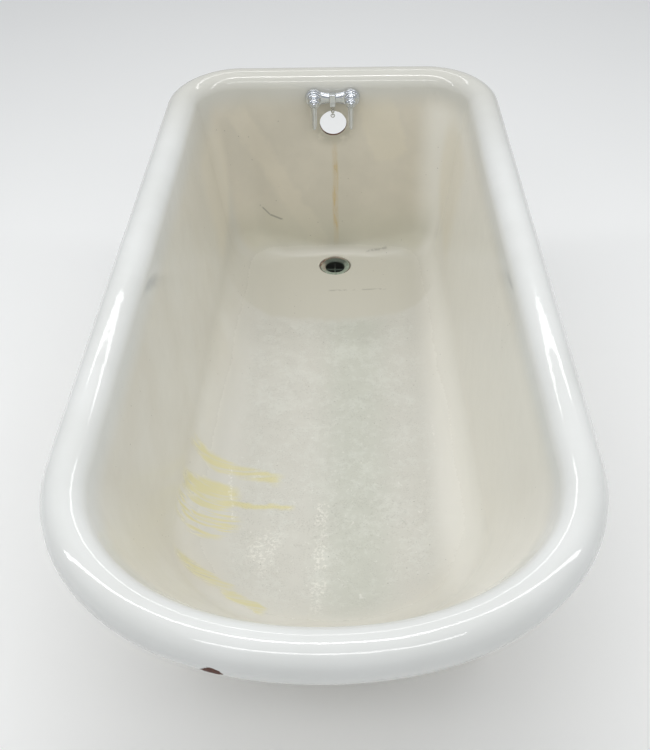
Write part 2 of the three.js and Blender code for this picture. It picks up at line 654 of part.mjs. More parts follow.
function lever() {
  const half = LEVER_HUB_HALF_LENGTH;
  const hub = turned([
    [0, HUB_FROM], [7, HUB_FROM], [LEVER_HUB_RADIUS - 1.4, HUB_CENTRE - half * 0.55],
    [LEVER_HUB_RADIUS, HUB_CENTRE], [LEVER_HUB_RADIUS - 1.4, HUB_CENTRE + half * 0.55],
    [7.5, HUB_TO - 1], [6, HUB_TO], [0, HUB_TO],
  ]);
  const arm = turned([
    [0, 2], [LEVER_ROOT_RADIUS, 2], [LEVER_ROOT_RADIUS, LEVER_HUB_RADIUS + 2],
    [LEVER_TIP_RADIUS + 0.6, LEVER_LENGTH * 0.65], [LEVER_TIP_RADIUS, LEVER_LENGTH - 5],
    [LEVER_TIP_RADIUS - 0.8, LEVER_LENGTH - 1.8], [LEVER_TIP_RADIUS - 2.4, LEVER_LENGTH], [0, LEVER_LENGTH],
  ], 12);
  const hanging = moved(arm, [0, 0, HUB_CENTRE], [Math.PI / 2, 0, 0]);
  return cut(
    joined(hub, hanging),
    hole(stemBore, HUB_FROM - 1, STEM_TOP + GAP),
    hole(LEVER_SCREW_RADIUS + BORE_CLEARANCE, STEM_TOP, HUB_TO + 1, 12),
    hole(LEVER_SCREW_HEAD_RADIUS + BORE_CLEARANCE, HUB_TO - SCREW_RECESS, HUB_TO + 1),
  );
}

function leverScrew() {
  const headFrom = HUB_TO - SCREW_RECESS + GAP;
  const headTo = headFrom + 3;
  const screw = turned([
    [0, STEM_TOP - LEVER_SCREW_DEPTH], [LEVER_SCREW_RADIUS, STEM_TOP - LEVER_SCREW_DEPTH],
    [LEVER_SCREW_RADIUS, headFrom], [LEVER_SCREW_HEAD_RADIUS, headFrom],
    [LEVER_SCREW_HEAD_RADIUS - 0.6, headTo - 1], [2, headTo], [0, headTo],
  ], 12);
  return cut(screw, block(3 * LEVER_SCREW_HEAD_RADIUS, 1, 2, [0, 0, headTo]));
}

// behind the wall: washer, lock nut, coupling nut and bent tailpiece on each shank
const BACK_WASHER_Y = WALL + 2 * GAP;
const LOCKNUT_Y = BACK_WASHER_Y + GASKET + GAP;
const COUPLING_Y = LOCKNUT_Y + LOCKNUT_HEIGHT + GAP;
const TAILPIECE_Y = SHANK_REACH + GAP;

function couplingNut() {
  const collarEnd = TAILPIECE_Y + TAILPIECE_COLLAR + GAP;
  return cut(
    hexNut(COUPLING_FLATS, TAILPIECE_RADIUS + BORE_CLEARANCE, COUPLING_Y, COUPLING_Y + COUPLING_LENGTH),
    hole(SHANK_RADIUS + BORE_CLEARANCE, COUPLING_Y - 1, collarEnd),
  );
}

function tailpiece() {
  const bendStart = new THREE.Vector3(0, COUPLING_Y + COUPLING_LENGTH, 0);
  const route = new THREE.CurvePath();
  route.add(new THREE.LineCurve3(new THREE.Vector3(0, TAILPIECE_Y + 1, 0), bendStart));
  const corner = bendStart.clone().add(new THREE.Vector3(0, TAILPIECE_BEND, 0));
  const bendEnd = corner.clone().add(new THREE.Vector3(0, 0, -TAILPIECE_BEND));
  route.add(new THREE.QuadraticBezierCurve3(bendStart, corner, bendEnd));
  route.add(new THREE.LineCurve3(bendEnd, bendEnd.clone().add(new THREE.Vector3(0, 0, -TAILPIECE_DROP))));
  const tube = (radius) => new THREE.ExtrudeGeometry(
    new THREE.Shape(new THREE.EllipseCurve(0, 0, radius, radius).getPoints(10).slice(0, -1)),
    { steps: 11, extrudePath: route },
  );
  const collar = moved(
    rod(SHANK_RADIUS - GAP, TAILPIECE_Y, TAILPIECE_Y + TAILPIECE_COLLAR),
    [0, 0, 0],
    ALONG_Y,
  );
  const endZ = -TAILPIECE_BEND - TAILPIECE_DROP;
  const openEnds = [
    moved(rod(TAILPIECE_BORE_RADIUS, TAILPIECE_Y - 1, TAILPIECE_Y + 4, 16), [0, 0, 0], ALONG_Y),
    moved(rod(TAILPIECE_BORE_RADIUS, endZ - 1, endZ + 3, 10), [0, corner.y, 0]),
  ];
  return cut(joined(tube(TAILPIECE_RADIUS), collar), tube(TAILPIECE_BORE_RADIUS), ...openEnds);
}

// ---------------------------------------------------------------- plug chain

const STAY_Z = LUG_BOTTOM - GAP - CHAIN_WIRE_RADIUS - CHAIN_LOOP_RADIUS;
const STAY_POST_FOOT = STAY_Z + CHAIN_LOOP_RADIUS - CHAIN_WIRE_RADIUS / 2;
const BEAD_PIVOT_Z = STAY_Z - CHAIN_LOOP_RADIUS + 2 * CHAIN_WIRE_RADIUS + GAP;
const BEAD_Z = BEAD_PIVOT_Z - 2 * CHAIN_LOOP_RADIUS - CHAIN_BEAD_RADIUS + CHAIN_WIRE_RADIUS;
const BEAD_LOOP_Z = BEAD_Z - CHAIN_BEAD_RADIUS - CHAIN_LOOP_RADIUS + CHAIN_WIRE_RADIUS;
const RING_PIVOT_Z = BEAD_LOOP_Z - CHAIN_LOOP_RADIUS + 2 * CHAIN_WIRE_RADIUS + GAP;

const wireLoop = (radius) => new THREE.TorusGeometry(radius, CHAIN_WIRE_RADIUS, 5, 12);
const facingX = [0, Math.PI / 2, 0];
const facingY = [Math.PI / 2, 0, 0];

const chainStay = () => joined(
  moved(wireLoop(CHAIN_LOOP_RADIUS), [0, -CHAIN_SETBACK, STAY_Z], facingX),
  moved(
    rod(STAY_POST_RADIUS, STAY_POST_FOOT, LUG_BOTTOM + STAY_POST_LENGTH, 12),
    [0, -CHAIN_SETBACK, 0],
  ),
);

const chainBead = () => joined(
  moved(new THREE.SphereGeometry(CHAIN_BEAD_RADIUS, 10, 6), [0, -CHAIN_SETBACK, BEAD_Z]),
  moved(wireLoop(CHAIN_LOOP_RADIUS), [0, -CHAIN_SETBACK, BEAD_PIVOT_Z - CHAIN_LOOP_RADIUS], facingY),
  moved(wireLoop(CHAIN_LOOP_RADIUS), [0, -CHAIN_SETBACK, BEAD_LOOP_Z], facingX),
);

const chainRing = () => moved(
  wireLoop(CHAIN_RING_RADIUS),
  [0, -CHAIN_SETBACK, RING_PIVOT_Z - CHAIN_RING_RADIUS],
  facingY,
);

// ---------------------------------------------------------------- materials and assembly

const finish = (color, roughness, metalness) => () => (
  new THREE.MeshStandardMaterial({ color, roughness, metalness })
);
const enamel = finish(0xd9d7cf, 0.25, 0);
const paintedIron = finish(0xd6d2c6, 0.5, 0.1);
const chrome = finish(0xc4c9cc, 0.12, 1);
const brass = finish(0xb08d57, 0.35, 1);
const corrodedBrass = finish(0x86907e, 0.7, 0.5);
const steel = finish(0x6f6a63, 0.5, 0.9);
const rubber = finish(0x2b2a28, 0.85, 0);

function add(parent, name, geometry, material) {
  const mesh = new THREE.Mesh(closed(geometry), material());
  mesh.name = name;
  parent.add(mesh);
  return mesh;
}

const bathtub = new THREE.Group();
add(bathtub, 'tub_shell', tubShell(), enamel);

FEET.forEach((foot) => {
  const fixings = footFixings(foot);
  add(bathtub, `foot_${foot.name}`, clawFoot(foot), paintedIron);
  add(bathtub, `foot_stud_${foot.name}`, fixings.stud, steel);
  add(bathtub, `foot_washer_${foot.name}`, fixings.washer, steel);
  add(bathtub, `foot_nut_${foot.name}`, fixings.nut, steel);
});

const waste = new THREE.Group();
waste.position.set(0, WASTE_Y, FLOOR_Z);
add(waste, 'drain_flange', drainFlange(), corrodedBrass);
const wasteBore = WASTE_TUBE_RADIUS + BORE_CLEARANCE;
add(waste, 'drain_gasket', ring(
  WASTE_FLANGE_RADIUS - 1, wasteBore, FLANGE_SEAT_Z + GAP, -WASTE_FLANGE_THICKNESS - GAP, 24,
), rubber);
add(waste, 'drain_washer', ring(
  WASTE_FLANGE_RADIUS, wasteBore, UNDER_BOSS_Z - GAP - GASKET, UNDER_BOSS_Z - GAP, 24,
), rubber);
add(waste, 'drain_locknut', hexNut(
  WASTE_NUT_FLATS, wasteBore, UNDER_WASHER_Z - WASTE_NUT_HEIGHT, UNDER_WASHER_Z,
), brass);
bathtub.add(waste);

const tap = new THREE.Group();
tap.position.set(0, tapWallY(TAP_Z), TAP_Z);
tap.rotation.x = -TAP_WALL_LEAN;
add(tap, 'tap_body', tapBody(), chrome);
add(tap, 'chain_stay', chainStay(), brass);
add(tap, 'chain_bead', chainBead(), brass);
add(tap, 'chain_ring', chainRing(), brass);

[['hot', -1], ['cold', 1]].forEach(([water, side]) => {
  const valve = new THREE.Group();
  valve.position.set(...shankPlace(side));
  valve.rotation.set(...VALVE_TURN);
  add(valve, `${water}_bonnet`, bonnet(), chrome);
  add(valve, `${water}_packing_nut`, packingNut(), chrome);
  add(valve, `${water}_stem`, stem(), brass);
  add(valve, `${water}_valve_washer`, valveWasher(), rubber);
  add(valve, `${water}_lever`, lever(), chrome);
  add(valve, `${water}_lever_screw`, leverScrew(), chrome);
  tap.add(valve);

  const shank = new THREE.Group();
  shank.position.set(...shankPlace(side));
  const bore = SHANK_RADIUS + BORE_CLEARANCE;
  const alongShank = (geometry) => moved(geometry, [0, 0, 0], ALONG_Y);
  add(shank, `${water}_wall_gasket`, alongShank(
    ring(BARREL_RADIUS - 3, bore, -GAP - GASKET, -GAP),
  ), rubber);
  add(shank, `${water}_back_washer`, alongShank(
    ring(BACK_WASHER_RADIUS, bore, BACK_WASHER_Y, BACK_WASHER_Y + GASKET),
  ), rubber);
  add(shank, `${water}_locknut`, alongShank(
    hexNut(LOCKNUT_FLATS, bore, LOCKNUT_Y, LOCKNUT_Y + LOCKNUT_HEIGHT),
  ), brass);
  add(shank, `${water}_coupling_nut`, alongShank(couplingNut()), brass);
  add(shank, `${water}_tailpiece`, tailpiece(), brass);
  tap.add(shank);
});
bathtub.add(tap);

export default bathtub;
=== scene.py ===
import math

import bpy
import numpy as np
from mathutils import Matrix, Vector, noise


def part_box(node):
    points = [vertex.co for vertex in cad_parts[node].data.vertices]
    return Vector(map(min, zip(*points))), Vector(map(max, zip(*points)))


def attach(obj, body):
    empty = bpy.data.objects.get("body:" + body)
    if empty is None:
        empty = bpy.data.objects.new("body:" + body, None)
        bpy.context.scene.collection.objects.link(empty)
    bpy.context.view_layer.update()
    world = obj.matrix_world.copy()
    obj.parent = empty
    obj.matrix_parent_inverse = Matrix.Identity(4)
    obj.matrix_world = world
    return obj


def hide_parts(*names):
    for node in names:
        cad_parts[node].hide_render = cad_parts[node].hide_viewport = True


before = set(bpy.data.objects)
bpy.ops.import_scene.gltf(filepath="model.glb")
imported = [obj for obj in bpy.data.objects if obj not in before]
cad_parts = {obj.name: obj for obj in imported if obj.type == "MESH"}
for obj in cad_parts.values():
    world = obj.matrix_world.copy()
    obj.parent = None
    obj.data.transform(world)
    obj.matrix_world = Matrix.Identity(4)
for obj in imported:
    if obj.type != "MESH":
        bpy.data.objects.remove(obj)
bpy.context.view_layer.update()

MM = 0.001
scene = bpy.context.scene
noise.seed_set(1)  # without it Blender seeds noise_vector from the clock


# ---------------------------------------------------------------- sizes, as in the frame

tub_low, tub_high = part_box("tub_shell")
RIM_WIDTH = tub_high.x - tub_low.x
RIM_HEIGHT = tub_high.z
RIM_TUBE_RADIUS = 32.5 * MM
RIM_CURL_BELOW = math.radians(50)
TAPER_PER_SIDE = 36 * MM
CORNER_RADIUS = 121 * MM
HEAD_REACH = 300 * MM
HEAD_SQUARENESS = 2.124
WALL = 6 * MM
BASIN_DEPTH = 448 * MM
FLOOR_SLOPE = 0.008
SIDE_INSET = 58 * MM
TAP_END_INSET = 6 * MM
HEAD_INSET = 290 * MM
FOOT_CORNER_RADIUS = 85 * MM
SIDE_FILLET = 88 * MM
TAP_END_FILLET = 26 * MM
HEAD_FILLET = 120 * MM
FLOOR_CORNER_RADIUS = 60 * MM
FILLET_WEIGHT = 0.74

flange_low, flange_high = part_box("drain_flange")
WASTE_Y = (flange_low.y + flange_high.y) / 2
WASTE_RADIUS = (flange_high.y - flange_low.y) / 2
WASTE_TUBE_RADIUS = 25 * MM
WASTE_BORE_RADIUS = 22 * MM
WASTE_TUBE_LENGTH = 42 * MM
WASTE_BOSS_RADIUS = 46 * MM
WASTE_BOSS_HEIGHT = 6 * MM
OVERFLOW_RADIUS = 29 * MM
OVERFLOW_DROP = 111 * MM
TAP_DROP = 46 * MM
TAP_CENTRES = 79 * MM
SHANK_HOLE_RADIUS = 9.8 * MM
FOOT_TURN = math.radians(38)
BALL_RADIUS = 31 * MM
SOLE_CUT = 4 * MM
STUD_SETBACK = 62 * MM
PAD_WIDTH = 62 * MM
PAD_LENGTH = 56 * MM
PAD_RISE = 34 * MM
EAR_THICKNESS = 13 * MM
FOOT_WASHER_RADIUS = 13 * MM
FOOT_NUT_FLATS = 19 * MM
WASTE_NUT_FLATS = 64 * MM
GAP = 0.3 * MM

RIM_CENTRE_Z = RIM_HEIGHT - RIM_TUBE_RADIUS
FLOOR_Z = RIM_HEIGHT - BASIN_DEPTH
TAP_FACE_Y = tub_high.y
HEAD_FACE_Y = tub_low.y
PAD_Z = tub_low.z


# ---------------------------------------------------------------- mesh helpers

def new_object(name, vertices, faces, materials=(), smooth_angle=35):
    mesh = bpy.data.meshes.new(name)
    mesh.from_pydata([tuple(v) for v in vertices], [], [tuple(f) for f in faces])
    mesh.validate()
    piece = bpy.data.objects.new(name, mesh)
    scene.collection.objects.link(piece)
    for material in materials:
        mesh.materials.append(material)
    smooth(piece, smooth_angle)
    return piece


def smooth(piece, angle=35):
    piece.data.shade_smooth()
    piece.data.set_sharp_from_angle(angle=math.radians(angle))


def applied(piece):
    """Turns the piece's modifiers into plain mesh."""
    graph = bpy.context.evaluated_depsgraph_get()
    mesh = bpy.data.meshes.new_from_object(piece.evaluated_get(graph))
    piece.modifiers.clear()
    piece.data = mesh
    return piece


def modified(piece, kind, **settings):
    modifier = piece.modifiers.new(kind.lower(), kind)
    for key, value in settings.items():
        setattr(modifier, key, value)
    bpy.context.view_layer.update()
    return applied(piece)


def combined(piece, other, operation):
    """Cuts the other piece from this one, or joins it on, and removes it."""
    modified(piece, "BOOLEAN", object=other, operation=operation, solver="MANIFOLD")
    bpy.data.objects.remove(other)
    return piece


def cut(piece, *cutters):
    for cutter in cutters:
        combined(piece, cutter, "DIFFERENCE")
    return piece


def joined(piece, *others):
    for other in others:
        combined(piece, other, "UNION")
    return piece


def lofted(name, rings, materials=(), smooth_angle=35):
    """A closed solid through rings of equal length, with a point in the middle of each end."""
    sides = len(rings[0])
    rings = [np.asarray(ring, float) for ring in rings]
    vertices = np.vstack([*rings, rings[0].mean(0), rings[-1].mean(0)])
    faces = []
    for level in range(len(rings) - 1):
        low = level * sides
        for i in range(sides):
            following = (i + 1) % sides
            faces.append((low + i, low + following, low + sides + following, low + sides + i))
    last = (len(rings) - 1) * sides
    for i in range(sides):
        following = (i + 1) % sides
        faces.append((len(vertices) - 2, following, i))
        faces.append((len(vertices) - 1, last + i, last + following))
    return outward(new_object(name, vertices, faces, materials, smooth_angle))


def rounded(points, radius, steps=4):
    """An outline of (radius, z) points with its corners rounded off."""
    result = [points[0]]
    for before, corner, after in zip(points, points[1:], points[2:]):
        corner = Vector(corner)
        back = Vector(before) - corner
        on = Vector(after) - corner
        reach = min(radius, back.length * 0.45, on.length * 0.45)
        start = corner + back.normalized() * reach
        end = corner + on.normalized() * reach
        for step in range(steps + 1):
            share = step / steps
            result.append(tuple(start.lerp(corner, share).lerp(corner.lerp(end, share), share)))
    return result + [points[-1]]


def lathe(name, points, materials=(), sides=64, place=Matrix(), edge=0.4 * MM, wobble=None):
    """A solid turned about Z from (radius, z) points: from axis to axis, or a closed outline."""
    closed = points[0] == points[-1]
    outline = rounded(points, edge)
    if not closed:
        outline = outline[1:-1] if points[0][0] == 0 else outline
    count = len(outline) - (1 if closed else 0)
    rings = []
    for radius, z in outline[:count]:
        ring = []
        for i in range(sides):
            angle = 2 * math.pi * i / sides
            point = Vector((radius * math.cos(angle), radius * math.sin(angle), z))
            ring.append(point + wobble(point) if wobble else point)
        rings.append(ring)
    vertices = [point for ring in rings for point in ring]
    faces = []
    for level in range(count if closed else count - 1):
        low = level * sides
        high = (level + 1) % count * sides
        for i in range(sides):
            following = (i + 1) % sides
            faces.append((low + i, low + following, high + following, high + i))
    if not closed:
        faces.append(tuple(reversed(range(sides))))
        faces.append(tuple(range((count - 1) * sides, count * sides)))
    piece = new_object(name, vertices, faces, materials)
    outward(piece)
    piece.data.transform(place)
    return piece


def outward(piece):
    """Turns the faces outward where the solid came out inside out."""
    mesh = piece.data
    volume = 0
    for polygon in mesh.polygons:
        first = mesh.vertices[polygon.vertices[0]].co
        for a, b in zip(polygon.vertices[1:], polygon.vertices[2:]):
            volume += first.dot(mesh.vertices[a].co.cross(mesh.vertices[b].co))
    if volume < 0:
        mesh.flip_normals()
    return piece


def flat_ring(name, bore, radius, low, high, materials, sides, place, edge=0.4 * MM):
    """A flat ring about Z, as a washer or gasket."""
    outline = [(bore, low), (radius, low), (radius, high), (bore, high), (bore, low)]
    return lathe(name, outline, materials, sides, place, edge)


def rod(name, radius, start, end, place=Matrix(), sides=64, materials=()):
    return lathe(name, [(0, start), (radius, start), (radius, end), (0, end)], materials, sides, place, 0)


def box_piece(name, low, high, bevel, place=Matrix(), materials=()):
    corners = [(x, y, z) for z in (low[2], high[2]) for y in (low[1], high[1]) for x in (low[0], high[0])]
    faces = [(0, 2, 3, 1), (4, 5, 7, 6), (0, 1, 5, 4), (2, 6, 7, 3), (0, 4, 6, 2), (1, 3, 7, 5)]
    piece = new_object(name, corners, faces, materials)
    if bevel:
        modified(piece, "BEVEL", width=bevel, segments=4)
        smooth(piece)
    piece.data.transform(place)
    return piece


def ball(name, radii, centre, place=Matrix(), sides=32):
    levels = sides // 2
    rings = []
    for level in range(1, levels):
        polar = math.pi * level / levels
        rings.append([Vector((
            centre[0] + radii[0] * math.sin(polar) * math.cos(2 * math.pi * i / sides),
            centre[1] + radii[1] * math.sin(polar) * math.sin(2 * math.pi * i / sides),
            centre[2] - radii[2] * math.cos(polar),
        )) for i in range(sides)])
    piece = lofted(name, rings)
    piece.data.transform(place)
    return piece


def wire_loop(name, radius, wire, place, materials=()):
    around, section = 40, 14
    vertices = []
    for i in range(around):
        turn = 2 * math.pi * i / around
        for k in range(section):
            tube = 2 * math.pi * k / section
            reach = radius + wire * math.cos(tube)
            vertices.append((reach * math.cos(turn), reach * math.sin(turn), wire * math.sin(tube)))
    faces = []
    for i in range(around):
        for k in range(section):
            here = i * section
            there = (i + 1) % around * section
            on = (k + 1) % section
            faces.append((here + k, there + k, there + on, here + on))
    piece = new_object(name, vertices, faces, materials)
    piece.data.transform(place)
    return piece


def hex_nut(name, flats, bore, start, end, place, materials):
    """A hexagonal nut with its corners turned off at both faces."""
    corner = flats / math.sqrt(3)
    chamfer = (corner - flats / 2) * 0.6
    ring = lambda radius, z: [
        (radius * math.cos(math.pi * i / 3), radius * math.sin(math.pi * i / 3), z) for i in range(6)
    ]
    nut = lofted(name, [ring(corner, start), ring(corner, end)], materials)
    turned_off = lathe("chamfer", [
        (0, start), (flats / 2, start), (corner + chamfer / 9, start + chamfer),
        (corner + chamfer / 9, end - chamfer), (flats / 2, end), (0, end),
    ], edge=0)
    combined(nut, turned_off, "INTERSECT")
    cut(nut, rod("bore", bore, start - MM, end + MM))
    modified(nut, "BEVEL", width=0.25 * MM, segments=2, limit_method="ANGLE")
    smooth(nut, 30)
    nut.data.transform(place)
    return nut


def melted(piece, voxel, passes):
    """Joins what overlaps into one skin and softens its creases, as in a casting."""
    modified(piece, "REMESH", mode="VOXEL", voxel_size=voxel)
    modified(piece, "SMOOTH", factor=0.5, iterations=passes)
    smooth(piece, 180)
    return piece


def merged_islands(name, pieces):
    """One object that holds all the pieces' meshes as they are."""
    vertices = []
    faces = []
    for piece in pieces:
        start = len(vertices)
        vertices += [v.co.copy() for v in piece.data.vertices]
        faces += [[start + v for v in p.vertices] for p in piece.data.polygons]
        bpy.data.objects.remove(piece)
    return new_object(name, vertices, faces)


def dressed(piece, material, angle):
    piece.data.materials.clear()
    piece.data.materials.append(material)
    smooth(piece, angle)


def finished(piece, body, slot, *nodes):
    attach(piece, body)
    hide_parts(*nodes)
    return piece


# ---------------------------------------------------------------- shader helpers

def rgb(code):
    """Linear colour from a six-digit sRGB code."""
    parts = [int(code[i:i + 2], 16) / 255 for i in (0, 2, 4)]
    return tuple(c / 12.92 if c <= 0.04045 else ((c + 0.055) / 1.055) ** 2.4 for c in parts) + (1,)


class Shader:
    """A material whose nodes are written as expressions of the object's own coordinates."""

    def __init__(self, name, **surface):
        self.material = bpy.data.materials.new(name)
        self.material.use_nodes = True
        self.tree = self.material.node_tree
        self.surface = self.tree.nodes["Principled BSDF"]
        for socket, value in surface.items():
            self.surface.inputs[socket.replace("_", " ")].default_value = value
        self.place = self.tree.nodes.new("ShaderNodeTexCoord").outputs["Object"]
        split = self.tree.nodes.new("ShaderNodeSeparateXYZ")
        self.tree.links.new(self.place, split.inputs[0])
        self.x, self.y, self.z = split.outputs

    def put(self, socket, value):
        """Links a node's output, or sets a number, a vector or a colour's sRGB code."""
        if isinstance(value, str):
            value = rgb(value)
        if isinstance(value, bpy.types.NodeSocket):
            self.tree.links.new(value, socket)
        else:
            socket.default_value = value

    def math(self, operation, first, second=0.0, clamp=False):
        node = self.tree.nodes.new("ShaderNodeMath")
        node.operation = operation
        node.use_clamp = clamp
        self.put(node.inputs[0], first)
        self.put(node.inputs[1], second)
        return node.outputs[0]

    def add(self, *values):
        total = values[0]
        for value in values[1:]:
            total = self.math("ADD", total, value)
        return total

    def times(self, *values):
        product = values[0]
        for value in values[1:]:
            product = self.math("MULTIPLY", product, value)
        return product

    def minus(self, first, second):
        return self.math("SUBTRACT", first, second)

    def both(self, *values):
        result = values[0]
        for value in values[1:]:
            result = self.math("MAXIMUM", result, value)
        return result

    def above(self, value, edge, width):
        """0 to 1 as the value passes the edge, over the width."""
        node = self.tree.nodes.new("ShaderNodeMapRange")
        node.interpolation_type = "SMOOTHSTEP"
        self.put(node.inputs["Value"], value)
        node.inputs["From Min"].default_value = edge - width / 2
        node.inputs["From Max"].default_value = edge + width / 2
        return node.outputs[0]

    def below(self, value, edge, width):
        return self.minus(1.0, self.above(value, edge, width))

    def between(self, value, low, high, width):
        return self.times(self.above(value, low, width), self.below(value, high, width))

    def stretched(self, x=1.0, y=1.0, z=1.0, turn=0.0):
        node = self.tree.nodes.new("ShaderNodeMapping")
        node.inputs["Scale"].default_value = (x, y, z)
        node.inputs["Rotation"].default_value = (0, 0, turn)
        self.put(node.inputs["Vector"], self.place)
        return node.outputs[0]

    def noise(self, scale, detail=3.0, roughness=0.55, distortion=0.0, vector=None):
        node = self.tree.nodes.new("ShaderNodeTexNoise")
        self.put(node.inputs["Vector"], vector or self.place)
        node.inputs["Scale"].default_value = scale
        node.inputs["Detail"].default_value = detail
        node.inputs["Roughness"].default_value = roughness
        node.inputs["Distortion"].default_value = distortion
        return node.outputs[0]

    def cells(self, scale, feature="F1", vector=None, output="Distance"):
        node = self.tree.nodes.new("ShaderNodeTexVoronoi")
        node.feature = feature
        self.put(node.inputs["Vector"], vector or self.place)
        node.inputs["Scale"].default_value = scale
        return node.outputs[output]

    def blend(self, share, first, second):
        node = self.tree.nodes.new("ShaderNodeMix")
        node.data_type = "RGBA"
        self.put(node.inputs["Factor"], share)
        self.put(node.inputs[6], first)
        self.put(node.inputs[7], second)
        return node.outputs[2]

    def painted(self, colour, *layers):
        """The colour with layers of (mask, colour) over it."""
        for mask, over in layers:
            colour = self.blend(mask, colour, over)
        return colour

    def blob(self, u, v, centre, reach, soft=0.5):
        """1 inside an ellipse of the plane of u and v, fading out at its edge."""
        across = self.math("DIVIDE", self.minus(u, centre[0]), reach[0])
        along = self.math("DIVIDE", self.minus(v, centre[1]), reach[1])
        distance = self.math("SQRT", self.add(self.times(across, across), self.times(along, along)))
        return self.below(distance, 1.0, soft)

    def stroke(self, u, v, start, end, half_width, soft):
        """1 along a straight stroke from start to end in the plane of u and v."""
        run = (end[0] - start[0], end[1] - start[1])
        length = math.hypot(*run)
        du = self.minus(u, start[0])
        dv = self.minus(v, start[1])
        along = self.add(self.times(du, run[0] / length), self.times(dv, run[1] / length))
        beside = self.minus(self.times(du, run[1] / length), self.times(dv, run[0] / length))
        off = self.math("ABSOLUTE", beside)
        return self.times(self.between(along, 0.0, length, 2 * soft), self.below(off, half_width, soft))

    def finish(self, colour, roughness=None, height=None, depth=1 * MM, metallic=None):
        self.put(self.surface.inputs["Base Color"], colour)
        if roughness is not None:
            self.put(self.surface.inputs["Roughness"], roughness)
        if metallic is not None:
            self.put(self.surface.inputs["Metallic"], metallic)
        if height is not None:
            bump = self.tree.nodes.new("ShaderNodeBump")
            bump.inputs["Strength"].default_value = 1.0
            bump.inputs["Distance"].default_value = depth
            self.put(bump.inputs["Height"], height)
            self.tree.links.new(bump.outputs[0], self.surface.inputs["Normal"])
        return self.material


# ---------------------------------------------------------------- enamel

def floor_rise(s):
    """Height above the sloping floor."""
    return s.minus(s.z, s.minus(FLOOR_Z + FLOOR_SLOPE * WASTE_Y, s.times(s.y, FLOOR_SLOPE)))


